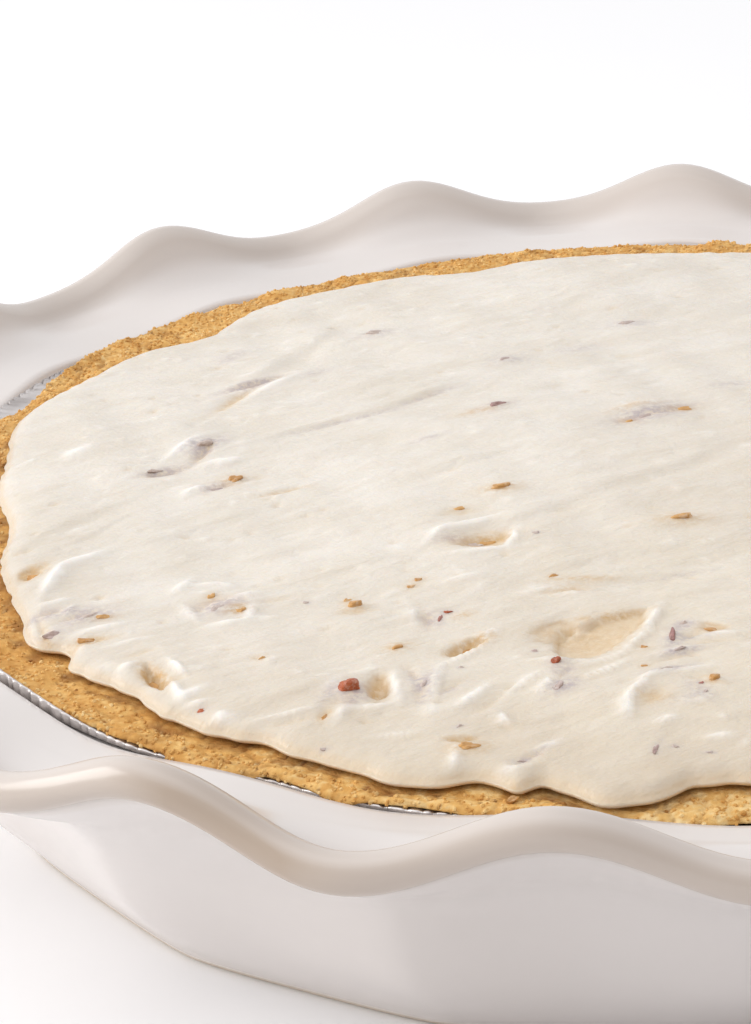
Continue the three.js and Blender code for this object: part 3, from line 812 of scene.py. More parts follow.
def crumb_relief(points):
    """How far the crumb stands out of the smooth crust, in millimetres, with its painted shade and its tone."""
    clump, clump_gap, _ = grains(points, CLUMP, 3)
    grain, grain_gap, shade = grains(points, GRAIN, 11)
    fine, _, fine_shade = grains(points, FINE, 29)
    t = np.arctan2(points[:, 0] - TIN_X, -points[:, 1])
    # where the crumbs are pressed flat; painted shade also makes the tone darker there
    pressed_and_shaded = around(t, -55, 26) + 0.6 * around(t, 150, 40)
    front = around(t, 4, 8)
    patches = CRUMB(points[:, 0] * 0.4 + 31, points[:, 1] * 0.4)
    loose = (0.45 + 0.55 * smooth(-0.25, 0.45, patches)) * (1 - 0.6 * pressed_and_shaded)
    crack, rut = 1 - smooth(0.0, 0.16, clump_gap), 1 - smooth(0.0, 0.14, grain_gap)
    relief = loose * (0.36 * (0.5 - clump) + 0.30 * (0.45 - grain)) + 0.16 * (0.45 - fine) - 0.32 * loose * crack ** 2
    relief -= 0.10 * loose * rut
    pit = (fine_shade > KEPT) * smooth(0.55, 0.2, fine)
    relief -= 0.30 * pit
    # painted shade in the cracks, the ruts, the pits and the low places, with less of it over the front
    painted_shade = np.clip(0.34 * crack * loose + 0.14 * rut * loose + 0.85 * pit - 0.22 * relief, 0, 1)
    painted_shade *= 1 - 0.75 * front
    # painted light over the front of the crust
    painted_light = around(t, -8, 20) + 0.6 * front
    return relief, painted_shade, 0.55 * shade + 0.45 * fine_shade - 0.20 * pressed_and_shaded + 0.22 * painted_light


# %% Crust rows


def crust_top(r, t):
    clear = smooth(cream_edge(t) + 0.8, cream_edge(t) + 2.8, r)
    return CRUST_TOP + 0.15 + clear * CRUST_CRAG * CRUMB(r * np.sin(t), -r * np.cos(t)) * 0.6


def crust_skin():
    """The whole bowl: coarse where cream or tin hide it, fine across the open rim."""
    fine, plain = full_circle(CRUST_COLUMNS), full_circle(CRUST_HIDDEN)
    z0 = TIN_BASE + TIN_FOIL + CRUST_GAP
    seat = TIN_EDGE_HEIGHT + CRUST_GAP
    floor = z0 + CRUST_FLOOR
    out = crust_outer(fine)
    past = out - tin_edge(fine)
    over = smooth(0.1, 0.5, past)  # where the crust hangs over the tin's edge
    foot = seat - 0.16 - 0.5 * over
    under = np.maximum(out - 0.5, tin_edge(fine) + 0.55) * over + (out - 0.5) * (1 - over)
    rings = [
        spot(TIN_BASE_RADIUS - 2.0, plain, z0, TIN_X), spot(TIN_BASE_RADIUS + 1.6, plain, z0 + 1.9, TIN_X),
        spot(TIN_WALL_TOP - CRUST_GAP - 0.1, plain, seat - 1.6, TIN_X),
        spot(np.minimum(TIN_WALL_TOP + 1.5, out - 2.4), fine, seat - 0.2, TIN_X),
        spot(out - 0.6, fine, seat - 0.16, TIN_X), spot(under, fine, foot, TIN_X),
    ]
    clear = [0.0, 0.0, 0.0, 0.0, 0.0, 0.3]
    curve = 1.3 - 0.7 * smooth(0.0, -0.4, past)  # squarer where it fills out to the foil
    low, high = foot + 0.1, crust_top(out - curve, fine)
    for a in np.radians([5, 20, 35, 50, 68]):
        rings.append(spot(out - curve * (1 - math.cos(a)), fine, low + (high - low) * math.sin(a), TIN_X))
        clear.append(1.0)
    inner = np.minimum(cream_edge(fine) - 0.6, out - 2.8)
    for share in np.linspace(0, 1, 25):
        r = (out - curve) + (inner - (out - curve)) * share
        rings.append(spot(r, fine, np.maximum(seat + 0.6, crust_top(r, fine)) - 0.15 * share, TIN_X))
        clear.append(1.0 if share < 0.95 else 0.4)
    rings += [spot(r, plain, z, TIN_X) for r, z in ((CRUST_INNER, CRUST_TOP), (77.4, floor + 3.0), (72.0, floor))]
    clear += [0, 0, 0]
    points, faces = skin(rings, (TIN_X, 0, z0), (TIN_X, 0, floor))
    return points, faces, np.concatenate([np.full(len(ring), c) for ring, c in zip(rings, clear)] + [[0, 0]])


def make_crust():
    points, faces, clear = crust_skin()
    relief, painted_shade, shade = np.zeros(len(points)), np.zeros(len(points)), np.full(len(points), 0.5)
    seen = np.nonzero(clear > 0)[0]
    relief[seen], painted_shade[seen], shade[seen] = crumb_relief(points[seen])
    x, y = points[:, 0] - TIN_X, points[:, 1]
    r, t = np.hypot(x, y), np.arctan2(x, -y)
    roofed = smooth(cream_edge(t) + 1.2, cream_edge(t) - 0.2, r)  # keep clear of the cream above
    relief = np.where(roofed > 0, np.minimum(relief, 0.9 - 0.75 * roofed), relief) * clear
    outward = smooth(crust_outer(t) - 1.4, crust_outer(t) - 0.3, r)
    points[:, 2] += relief * (1 - 0.75 * outward)
    room = 0.02 + 0.30 * smooth(-0.3, 0.3, crust_outer(t) - tin_edge(t))
    grow = np.clip(relief, -0.9, room) * outward
    points[:, 0] += grow * np.sin(t)
    points[:, 1] -= grow * np.cos(t)
    hung = smooth(-0.2, 0.1, r - tin_edge(t) - 0.4)
    lowest = TIN_EDGE_HEIGHT + 0.12 - 0.55 * hung
    points[:, 2] = np.where(clear > 0, np.maximum(points[:, 2], lowest), points[:, 2])
    # painted shadow: a patchy dark band on the crust just under the cream's edge
    patchy = smooth(-0.5, 0.7, CRUMB(x * 1.7 + 13, y * 1.7))
    painted_shade = np.clip(painted_shade + 0.55 * patchy * smooth(1.5, 0.5, np.abs(r - cream_edge(t) - 0.4)) * (clear > 0), 0, 1)
    bare = clear * smooth(0.4, 1.0, clear) * (1 - roofed)
    return make_mesh("biscuit_crust", points, faces, {"crack": painted_shade, "shade": shade, "bare": bare})


# %% Crust finish


def crust_finish():
    f = Finish("biscuit_crumb")
    shade = f.painted("shade")
    mottle = f.add("ShaderNodeMix", {"Factor": 0.35, "A": shade, "B": f.noise(0.55, 3.0)}).outputs[0]
    body = f.ramp(mottle, [
        (0.12, srgb(200, 146, 76)), (0.42, srgb(221, 172, 100)), (0.62, srgb(231, 188, 118)),
        (0.9, srgb(244, 216, 160)),
    ])
    warm = f.ramp(f.noise(7.0, 2.0), [(0.40, (1.0, 1.0, 1.0)), (0.62, (0.93, 0.86, 0.74))])
    body = f.mix(1.0, body, warm, "MULTIPLY")
    # painted shade: cracks, pits and low places darken towards brown
    colour = f.mix(f.painted("crack"), body, srgb(136, 84, 36))
    rough = f.ramp(f.noise(1.2, 2.0), [(0.3, 0.62), (0.7, 0.88)])
    tooth = f.bump(f.noise(0.5, 4.0, 0.7), 0.18)
    return f.set(Base_Color=colour, Roughness=rough, Normal=tooth, Specular_IOR_Level=0.32)


CRUMBS = crust_finish()
crust = make_crust()
crust.data.materials.append(CRUMBS)
print("crust:", triangles(crust), "triangles,", round(volume(crust)), "cm3")

# %% [markdown]
# ## Whipped cream filling
# The filling is thick and soft: it holds every mark of the spreading knife,
# rounds off at its edge and slumps a little over the crust. Its face is a
# height for every place in the plane, built up in layers: the dome, slow
# swells, long strokes, then the laps and nicks that catch the light. The first
# layers are those of the plain model, a little shallower, so the detailed face
# lies close to it.

# %% The plain face
CREAM_GAP, EDGE_BEAD, BEAD_WIDE, CROWN = 0.3, 2.2, 3.4, 2.2
CREAM_UNDER = CRUST_TOP + 0.55
SWELL, CHOP = waves(5, 7, 46, 90), waves(17, 9, 11, 19)
SWELL_HIGH, STROKE_DEEP, CHOP_HIGH, DIP_DEEP = 0.38, 0.55, 0.10, 0.6


def knife_strokes(seed):
    draw = make_random(seed)
    marks = []
    for _ in range(26):
        r, t = 88 * math.sqrt(draw()), TAU * draw()
        turn = math.radians(28 + 24 * (draw() - 0.5))
        long, wide = 14 + 20 * draw(), 2.4 + 2.6 * draw()
        sign = -1 if draw() < 0.5 else 1
        marks.append((r * math.sin(t), -r * math.cos(t), turn, long, wide, sign * (0.35 + 0.5 * draw())))
    return marks


def turned(x, y, at_x, at_y, turn):
    """Distances from a place, along a direction and across it."""
    dx, dy = x - at_x, y - at_y
    return dx * math.cos(turn) + dy * math.sin(turn), dy * math.cos(turn) - dx * math.sin(turn)


def strokes(x, y):
    total = np.zeros_like(x)
    for at_x, at_y, turn, long, wide, deep in knife_strokes(8):
        u, v = turned(x, y, at_x, at_y, turn)
        total += deep * np.exp(-((u / long) ** 2) - (((v - 0.012 * u * u) / wide) ** 2))
    return total


DIPS = [  # x, y, turn in degrees, half length, half width, depth
    (-10.5, -68.4, 22, 7, 4.4, 1.3), (-36.3, -81.9, 0, 1.6, 2.6, 1.2), (-26.3, -70.9, 45, 2.6, 1.4, 0.9),
    (-66, -76.6, -50, 2.2, 1.5, 1.3), (-25, -35.4, 20, 4.4, 3.2, 1.1),
]


def plain_face(x, y):
    r, t = np.hypot(x, y), np.arctan2(x, -y)
    edge = cream_edge(t)
    inset = edge - r
    bead = EDGE_BEAD * np.sqrt(1 - (1 - np.clip(inset / BEAD_WIDE, 0, 1)) ** 2)
    live = smooth(1.5, 9, inset)
    z = CREAM_UNDER + bead + CROWN * (1 - (r / edge) ** 2)
    z = z + live * (SWELL_HIGH * SWELL(x, y) + STROKE_DEEP * strokes(x, y) + CHOP_HIGH * CHOP(x, y))
    for at_x, at_y, turn, long, wide, deep in DIPS:
        u, v = turned(x, y, at_x, at_y, math.radians(turn))
        z = z - DIP_DEEP * deep * np.exp(-((u / long) ** 2) - ((v / wide) ** 2))
    return z


# %% [markdown]
# ## Where the pecans are
# The larger pieces are named one by one, with their place on the pie, their
# size, their turn and what shows of each: the red-brown skin, the tan flesh,
# or only a shadow under the cream. On the other half the places are drawn
# from the same seeded row as the plain model's.

# %% Named pecan pieces
SKIN, MAUVE, VEILED, FLESH = 0.12, 0.32, 0.52, 0.86  # tones of a nut, from its skin to its flesh
BIT_COUNT, BIT_REACH, BIT_APART, SPECK_COUNT, SPECK_REACH = 40, 93, 11, 70, 100
BITS = [  # x, y, long, wide, high, turn, what shows, how much of it stands clear of the cream
    (-40.1, -82.9, 2.6, 2.3, 1.9, 20, SKIN, 0.48), (-14.4, -76.9, 1.2, 1.1, 1.1, 60, SKIN, 0.4),
    (0.4, -70.6, 3.4, 0.8, 1.4, 84, MAUVE, 0.3), (-25.4, -69.8, 3.2, 1.4, 1.1, 40, FLESH, 0.12),
    (-24.7, -98.4, 2.6, 1.3, 1.1, 10, FLESH, 0.25), (2.1, -31.1, 3.6, 1.6, 1.2, 5, FLESH, 0.22),
    (-23.1, -20.7, 2.8, 1.5, 1.1, 15, FLESH, 0.28), (-24.7, 14.3, 2.8, 1.5, 1.2, 35, MAUVE, 0.24),
    (-64.2, 31.4, 4.6, 1.5, 1.2, 42, VEILED, 0.15), (-68.9, 3.5, 3.6, 1.6, 1.4, 30, VEILED, 0.14),
    (-62.8, -9.7, 2.2, 1.5, 1.2, 30, FLESH, 0.2), (-1, 9.5, 6, 2.4, 1.5, 35, VEILED, 0.14),
    (-46.4, 54, 2.8, 1.8, 1.3, 10, VEILED, 0.2), (-24, 37.5, 2.6, 1.6, 1.2, 20, VEILED, 0.16),
    (-4.6, 54.5, 3, 1.9, 1.3, 15, VEILED, 0.2), (-59.2, -56.6, 3.4, 2, 1.5, 20, VEILED, 0.1),
    (-77.4, -58, 3.4, 1.8, 1.4, 35, VEILED, 0.12), (-35, -70.9, 2, 1.2, 1, 30, FLESH, 0.12),
    (-41.4, -57.5, 1.8, 1.4, 1.2, 10, FLESH, 0.42), (-14, -84, 2.6, 1.3, 1.1, 60, VEILED, 0.12),
    (5.3, -83.3, 1.4, 1.2, 1, 15, FLESH, 0.45), (-31, -81.4, 2.8, 1.3, 1.2, 65, VEILED, 0.14),
]
SPECKS = [  # small crumbs of nut: x, y, long, wide, turn, what shows
    (-26, -93.3, 1, 0.6, 30, VEILED), (-58.5, -86.2, 1.1, 0.8, 0, SKIN), (-42.7, -89.4, 1.8, 0.7, 70, FLESH),
    (-19.3, -107.2, 1.6, 1, 30, FLESH), (-42.6, -54.8, 1.3, 0.9, 60, FLESH), (-33.3, -49.6, 1.2, 0.8, 30, FLESH),
    (-34.2, -51.5, 1.2, 0.8, 30, FLESH), (3.7, -84.2, 0.8, 0.6, 40, MAUVE), (4.1, -86.5, 0.9, 0.6, 70, VEILED),
    (-3.2, -73.8, 1, 0.7, 0, FLESH), (-3.3, -78.9, 1, 0.5, 0, FLESH), (-2.2, -99.9, 2.6, 0.6, 80, MAUVE),
    (0.1, -99.3, 0.9, 0.6, 0, VEILED), (4.1, -100.6, 1.2, 0.5, 0, VEILED), (-18.1, -101.5, 1.6, 0.5, 20, VEILED),
    (-52.2, -73.4, 1.1, 0.7, 20, FLESH), (-48.1, -55.4, 0.9, 0.6, 0, VEILED), (-42.3, -97, 0.9, 0.5, 0, VEILED),
    (-17.3, -72.6, 0.9, 0.6, 0, VEILED), (-15.3, -49.2, 1.3, 0.8, 20, FLESH), (5.2, -67.5, 2.2, 1.2, 5, FLESH),
    (1.9, -65.6, 1.2, 1, 60, VEILED), (0.9, -75.1, 2.2, 0.6, 20, VEILED), (-0.5, -80.4, 2, 0.6, 15, VEILED),
    (-29.9, -62.4, 2.4, 0.6, 85, MAUVE), (-29, -59.8, 1.3, 0.7, 20, SKIN), (-26.4, -77.2, 0.8, 0.5, 0, VEILED),
    (-65.1, -12.9, 2.4, 0.9, 30, VEILED), (-74.9, -5.7, 3, 0.8, 40, VEILED), (-81.4, -62.4, 2.4, 1.3, 0, VEILED),
    (-56.5, -57.5, 1.6, 1, 30, FLESH), (-61.2, -52.9, 1.6, 1, 80, FLESH), (-75.1, -58.4, 2, 1.1, 20, FLESH),
    (-76.3, -64.6, 2.6, 0.9, 10, FLESH), (-87, -42.4, 2.4, 1.2, 0, FLESH), (3.4, 12.2, 2.6, 1.2, 10, FLESH),
    (-4.8, 6.6, 1.8, 1, 0, FLESH), (-66, -76.2, 2.6, 1.5, -50, FLESH), (-24.3, -35.6, 2.6, 1.5, 25, FLESH),
    (-26.4, -36.6, 2.4, 1.2, 15, VEILED), (-29, -27, 1.8, 0.8, 10, FLESH), (-17.8, -36, 1.2, 0.7, 0, VEILED),
]
STAINS = [  # where a nut lies just under the face: x, y, half length, half width, turn, how strong, what shows
    (-13.2, -79.2, 1.6, 1.2, 20, 0.8, VEILED), (-12.9, -83.4, 1.6, 1.3, 40, 0.9, VEILED),
    (-39, -85.2, 2.6, 1, 60, 0.7, VEILED), (-43, -84.6, 2.4, 0.8, 75, 0.6, VEILED),
    (-36.8, -82.6, 1.4, 2.2, 10, 0.8, FLESH), (2, -66.6, 1.8, 1.3, 60, 0.8, VEILED),
    (2.6, -70.6, 3.2, 0.8, 20, 0.7, VEILED), (0.8, -72.4, 1.4, 0.9, 60, 0.7, VEILED),
    (1.6, -75.2, 2.8, 0.7, 22, 0.8, VEILED), (-0.4, -80.2, 3.4, 0.7, 18, 0.9, VEILED),
    (3.2, -86.2, 1.4, 3.2, 30, 0.6, VEILED), (0.8, -88.4, 2.2, 1.2, 10, 0.4, VEILED),
    (-2.4, -87, 1.6, 2.6, 60, 0.6, FLESH), (-32, -80.4, 2.6, 0.8, 110, 0.9, VEILED),
    (-30.8, -84.6, 3, 0.7, 84, 0.8, VEILED), (-27.6, -83.4, 3, 0.4, 45, 0.8, VEILED),
    (-17.2, -100.9, 3, 0.5, 48, 0.9, VEILED), (-25.8, -96.2, 2, 0.5, 2, 0.9, FLESH),
    (-31.2, -62, 2.6, 1.4, 100, 0.8, VEILED), (-26.9, -61.2, 1.8, 1.2, 40, 0.7, FLESH),
    # the next three rows are painted shade in the wide hollow and a painted shadow along its far edge
    (-9.6, -68.4, 6.4, 5, 45, 0.5, FLESH), (-15.6, -66, 3, 2, 20, 0.4, FLESH),
    (-7.4, -61.8, 4.6, 0.5, 13, 1, FLESH), (-26, -36.4, 4, 1.4, 18, 0.8, FLESH),
    (-29.6, -36.6, 2.2, 1.2, 20, 0.8, VEILED), (-80.6, -55.6, 4.4, 1.6, 12, 0.9, VEILED),
    (-77, -57.8, 3, 1.2, 30, 0.8, VEILED), (-84, -56.8, 2.2, 1.2, 40, 0.7, VEILED),
    (-60.2, -55, 3.2, 1.6, 25, 0.6, VEILED), (-57.4, -57, 1.8, 1.2, 30, 0.7, FLESH),
    (-66.2, -76.4, 2.4, 0.8, -56, 1, FLESH), (-88, -41.2, 2.6, 1.2, 60, 0.8, FLESH),
    (-75.4, -65.4, 3, 0.7, 14, 0.7, FLESH), (-82.2, -62.8, 3, 0.6, 108, 0.7, FLESH),
    (-64.2, 31.6, 5, 1.2, 42, 0.9, VEILED), (-66.4, 24.4, 5, 1, 65, 0.5, FLESH),
    (-68.4, 2.4, 4.4, 1.4, 70, 0.9, VEILED), (-73.4, -6, 3.6, 1.2, 30, 0.9, VEILED),
    (-64.8, -11.4, 3, 1, 30, 0.8, VEILED), (-54.8, -15.2, 3.6, 0.7, 25, 0.7, FLESH),
    (-47.8, 12, 11, 0.5, 30, 0.7, VEILED), (-36.4, 21, 8, 0.5, 40, 0.7, VEILED),
    (-1.4, 9.4, 6.4, 1.8, 33, 0.8, VEILED), (-3.6, 12.6, 5, 1.2, 30, 0.6, FLESH),
    (10.6, 22.6, 3.6, 1.2, 30, 0.7, VEILED), (-12.8, 42.6, 3.6, 1.6, 25, 0.6, VEILED),
    (-54.6, 35.2, 3, 1.2, 45, 0.6, VEILED), (-69.4, 46.2, 3.4, 1.4, 60, 0.7, VEILED),
    (-27.6, 12, 3.6, 1.4, 30, 0.7, FLESH), (-35, 1.4, 3.2, 0.7, 25, 0.7, VEILED),
    (-11.6, -50.4, 5, 0.6, 4, 0.7, FLESH), (-13.6, -53.6, 3, 1.4, 12, 0.6, FLESH),
    (-26.2, -70.8, 3, 0.9, 43, 1.3, FLESH), (-36.7, -81.8, 0.9, 3.2, 0, 1, FLESH),
    (-65.6, -76.4, 3.4, 1, -58, 1, FLESH), (2, -48.6, 5.4, 0.5, 20, 0.6, VEILED),
]


def unlisted(x, y, start):
    """True on the half that the lists leave out, past a slanting line."""
    return x > start + 0.09 * (y + 97)


def drawn_bits():
    """The bits beyond the listed ones, from the plain model's own random row."""
    draw = make_random(41)
    places = [bit[:2] for bit in BITS]
    more = []
    while len(places) < BIT_COUNT:
        r, t = BIT_REACH * math.sqrt(draw()), TAU * draw()
        x, y = r * math.sin(t), -r * math.cos(t)
        if unlisted(x, y, 11) and all(math.hypot(a - x, b - y) > BIT_APART for a, b in places):
            places.append((x, y))
            more.append((x, y, 1.3 + 1.2 * draw()))
    draw = make_random(97)
    rows = []
    for x, y, size in more:
        show = (SKIN, FLESH, VEILED, VEILED)[int(4 * draw())]
        clear = 0.14 if show == VEILED else 0.25 + 0.25 * draw()
        long, wide = size * (1.3 + 0.7 * draw()), size * (0.7 + 0.3 * draw())
        rows.append((x, y, long, wide, size * 0.75, 180 * draw(), show, clear))
    return rows


def drawn_specks():
    draw = make_random(151)
    rows = []
    while len(rows) < SPECK_COUNT:
        r, t = SPECK_REACH * math.sqrt(draw()), TAU * draw()
        x, y = r * math.sin(t), -r * math.cos(t)
        long, turn, show = 0.7 + 1.4 * draw(), 180 * draw(), (SKIN, FLESH, VEILED)[int(3 * draw())]
        if unlisted(x, y, 13):
            rows.append((x, y, long, 0.6 * long, turn, show))
    return rows


ALL_BITS = BITS + drawn_bits()
ALL_SPECKS = SPECKS + drawn_specks()
print(len(ALL_BITS), "pecan pieces and", len(ALL_SPECKS), "specks")

# %% [markdown]
# ## The marks that catch the light
# A knife leaves a lap where it lifts: the cream is high on one side of a line
# and low on the other. A lump, a dip and a slit are simpler, each a smooth
# hill or hollow with its own length and width. A few hollows have a flat floor
# and a drawn outline. The marks are listed by place, and small seeded ones
# fill the rest of the face.

# %% Marks in the cream
HOLLOWS = [  # a flat-floored hollow: its depth, how much painted shade on its floor, and its outline
    (0.8, 0.66, [
        (-13.6, -64.6), (-11.5, -64.7), (-9.2, -63), (-6.3, -61.5), (-3, -60.4), (-3.2, -63), (-4.1, -65.9),
        (-5.2, -68), (-6.4, -70.8), (-7.9, -73.1), (-9.3, -74.4), (-11.1, -74.9), (-12.7, -74.8), (-13.9, -74),
        (-14.6, -71.6), (-14.6, -68),
    ]),
    (0.4, 0.4, [
        (-17.8, -67), (-16.9, -65.2), (-15.8, -64), (-14.4, -62.9), (-13, -63), (-12.4, -64.9),
        (-13.3, -67.3), (-14.6, -68.6), (-15.8, -69.6), (-17.2, -68.9),
    ]),
    (0.8, 0.95, [
        (-28.3, -72.3), (-27.9, -70.8), (-26.3, -69.4), (-24.9, -68.3), (-24.1, -68.9), (-25.1, -71),
        (-26.5, -72.4), (-27.8, -73.2),
    ]),
    (0.75, 0.8, [
        (-37.7, -79.3), (-37.1, -78.2), (-36.1, -79.1), (-35.4, -81.3), (-35.5, -83.5), (-36.3, -84.9),
        (-37.4, -84.4), (-38, -82),
    ]),
    (1.1, 0.95, [
        (-67.4, -73), (-66.6, -73.8), (-65.3, -76), (-63.8, -78.6), (-64.4, -80.1), (-66, -77.9),
        (-67.2, -75.3),
    ]),
    (0.5, 0.85, [(-27.9, -96.3), (-25.8, -95.7), (-23.6, -96.1), (-25.6, -96.9)]),
    (0.45, 0.6, [(-29.8, -38.2), (-27, -36.2), (-22.4, -34.2), (-21.2, -36.4), (-22.6, -38.6), (-26, -39.2)]),
    (0.4, 0.6, [(3.6, -66.4), (5.2, -68.6), (7.6, -67.8), (6.4, -66.6), (4.8, -65.4)]),
    (0.7, 0.6, [(34, -40), (38, -39), (42.5, -35.5), (43, -32), (39, -33), (35, -36)]),
    (0.75, 0.75, [(58, 12), (61, 13), (63.5, 16.5), (62.5, 18), (59.5, 16.5), (57.5, 14)]),
    (0.6, 0.6, [(20, 56), (24, 56.5), (29, 60), (28.5, 62.5), (24, 61), (20.5, 58.5)]),
    (0.8, 0.8, [(30, -80), (32, -79.5), (33, -77), (32, -75.5), (30.5, -76.5)]),
    (0.4, 0.7, [(-89.6, -41.6), (-88.2, -40.2), (-86.4, -41.4), (-87.6, -43.2), (-89.2, -43.2)]),
]
MARKS = [  # x, y, turn, half length, half width, height: less than nothing for a hole
    # the raised rims of the wide hollow
    (-2.2, -64.4, 76, 4.2, 0.6, 0.85), (-4.2, -71.4, 62, 3.6, 0.6, 0.55), (-8.4, -76.2, 26, 3.4, 0.6, 0.4),
    (-14.4, -75.9, -4, 3.2, 0.6, 0.4), (-11.9, -65.6, 50, 1.8, 0.5, 0.42),
    # a curved ridge nearer the right
    (-1.8, -81.4, 25, 2.4, 0.7, 0.5), (-4.4, -85.4, 65, 3.2, 0.8, 0.75), (-5.6, -90, 88, 2.8, 0.8, 0.6),
    (2.6, -80.2, 15, 3.6, 0.7, 0.3), (-8.2, -79.4, 40, 3.8, 0.7, 0.45), (-2.4, -87.4, 60, 3.6, 1.5, -0.3),
    (1.6, -74.6, 22, 4, 0.6, 0.35), (5.4, -70.2, 12, 3.6, 0.6, 0.3), (2.8, -69.8, 45, 2.8, 1, -0.45),
    (0.6, -76.6, 30, 3.2, 0.6, -0.3), (4.6, -72.4, 10, 2.8, 0.6, -0.3),
    # the pit beside the large nut, and the slot with its raised lip
    (-34.6, -81.8, 96, 3.4, 0.7, 0.6), (-36.9, -87.4, 15, 2.4, 0.8, 0.42), (-38.4, -77.4, 20, 2.2, 0.7, 0.3),
    (-42.6, -81, 70, 2.4, 0.9, 0.3), (-41.6, -86.4, 30, 2.2, 0.8, -0.28), (-26, -73.2, 52, 4.2, 0.7, 0.5),
    (-23.2, -67, 40, 2, 0.8, 0.4),
    # grey clefts with ridges between them
    (-32.4, -79.2, 110, 2.4, 0.6, -0.5), (-31.2, -83.6, 84, 3.2, 0.6, -0.45), (-29.5, -81.4, 87, 5.2, 0.6, 0.48),
    (-33.6, -84.6, 80, 2.6, 0.6, 0.3), (-27.7, -82.8, 50, 3, 0.5, -0.35), (-24.7, -85.4, 58, 3.6, 0.9, 0.62),
    (-22.6, -87.6, 55, 2.6, 0.7, -0.3), (-20.8, -91.2, 114, 1.8, 0.7, 0.42), (-15.6, -83, 70, 2.4, 0.7, 0.5),
    (-13.6, -80.4, 60, 2.2, 0.7, -0.32), (-18.6, -82.4, 56, 4.2, 0.7, 0.42),
    # slits and lumps near the front edge
    (-26.2, -101.8, 93, 3, 0.8, 0.48), (-43, -89.2, 70, 1.8, 0.6, -0.5), (-40.8, -89, 75, 2.4, 0.8, 0.45),
    (-47.4, -88.6, 18, 4.4, 0.6, 0.34), (-46.6, -90.4, 16, 3.2, 0.5, -0.28), (-0.8, -93, 20, 1.4, 1.1, 0.42),
    (5.6, -97.2, 10, 2, 0.9, 0.42), (-15.1, -98.4, 35, 2.4, 0.8, 0.42), (-17.2, -100.8, 48, 3.4, 0.6, -0.38),
    (-20.2, -104.2, 20, 2.4, 1.1, 0.5), (-33.6, -94.6, 12, 3, 0.7, 0.26),
    # lumps at the left edge, the pit there and the flap that folds over
    (-56.4, -90, 25, 2.6, 1.6, 0.75), (-60.6, -82.6, 40, 2.6, 1.2, 0.5), (-63, -75.2, 120, 2.6, 0.8, 0.6),
    (-69.4, -78, -40, 3, 1.2, 0.4), (-73.4, -73.6, 30, 2, 1.3, 0.6), (-71.4, -75.4, 30, 1.8, 1.2, 0.5),
    (-84, -45.4, 80, 4.4, 1.5, 0.95), (-81, -38.4, 50, 4.4, 1.3, 0.6), (-87.4, -42, 60, 3.6, 1.4, -0.6),
    (-78.4, -57.4, 30, 3.4, 1, -0.5), (-75, -61.8, 25, 3.6, 1, 0.45), (-76.3, -65.2, 15, 3.2, 0.8, -0.45),
    (-82.4, -52.2, 30, 2.2, 1, 0.45), (-82.8, -55.4, 20, 2.4, 0.9, -0.45), (-80.2, -55, 80, 1.6, 0.8, 0.4),
    (-85.4, -59.4, 109, 8, 1.1, 0.55), (-82.6, -62.4, 108, 6, 0.9, -0.45), (-70.4, -66.6, 20, 3.4, 0.8, 0.34),
    (-68.4, -69.8, 25, 3, 0.7, -0.3), (-62.4, -81.2, 110, 2.6, 0.9, 0.62), (-56.2, -89.4, 70, 1.6, 1.2, 0.9),
    (-59.4, -84.8, 15, 2, 0.6, 0.45), (-77.6, -66.8, 60, 1.8, 1, 0.6), (-60.2, -86.8, 20, 2.4, 0.8, -0.42),
    (-62.8, -78, 15, 1.8, 0.5, -0.5), (-70, -73.6, 40, 1.6, 0.8, 0.55),
    # the lumpy ring
    (-65.6, -49, 70, 2.4, 1, 0.55), (-61.6, -48.6, 10, 2.2, 0.9, 0.45), (-57, -53.2, 35, 2.6, 1, 0.55),
    (-55.2, -58, 80, 2.4, 0.9, 0.5), (-58, -61.4, 15, 2.8, 0.9, 0.5), (-63.6, -57.6, 120, 2.6, 0.9, 0.45),
    (-60.4, -54.8, 30, 3.4, 1.8, -0.6), (-60.6, -55.2, 60, 1.2, 0.7, 0.35), (-52.6, -54.4, 20, 2.6, 0.8, -0.28),
    # the shadowed hollow and its bright rims
    (-25.8, -36, 18, 4.4, 1.6, -0.6), (-21, -36.4, 80, 3, 0.8, 0.7), (-27, -32, 28, 4.8, 0.9, 0.62),
    (-25.4, -40.8, 12, 5, 0.8, 0.42), (-29, -28.4, 15, 3.4, 0.7, -0.35), (-31.8, -35.4, 60, 3, 0.8, 0.42),
    # clefts farther off
    (-64.2, 31.6, 42, 5, 1.1, -0.75), (-66.6, 24, 65, 6, 1.2, -0.5), (-61, 30, 55, 6, 1.3, 0.5),
    (-73.6, -6.4, 30, 3.4, 0.9, -0.7), (-68.6, 1, 75, 4, 1, -0.75), (-71.8, 3, 60, 4, 1.3, 0.65),
    (-65.4, -3, 20, 3.6, 1.3, 0.55), (-68, -13.4, 30, 2.2, 1.1, 0.7), (-64.6, -12.2, 35, 3, 0.9, -0.45),
    (-55, -15, 22, 4, 0.7, -0.4), (-88.1, 2.5, 50, 3, 2, 0.6), (-1, 9.2, 32, 6.5, 1.3, -0.6),
    (-2.4, 13.4, 30, 6, 1.2, 0.45), (-17, -53.6, 25, 3, 0.9, 0.4), (-27.2, -49.7, 25, 3, 0.9, 0.4),
    (-13.2, -55, 10, 2, 0.9, 0.4), (-31.6, -62, 100, 3, 0.8, -0.42), (-33.6, -60.4, 100, 2.6, 0.7, 0.32),
    (-41.4, -59.4, 10, 2.6, 0.9, -0.3),
]
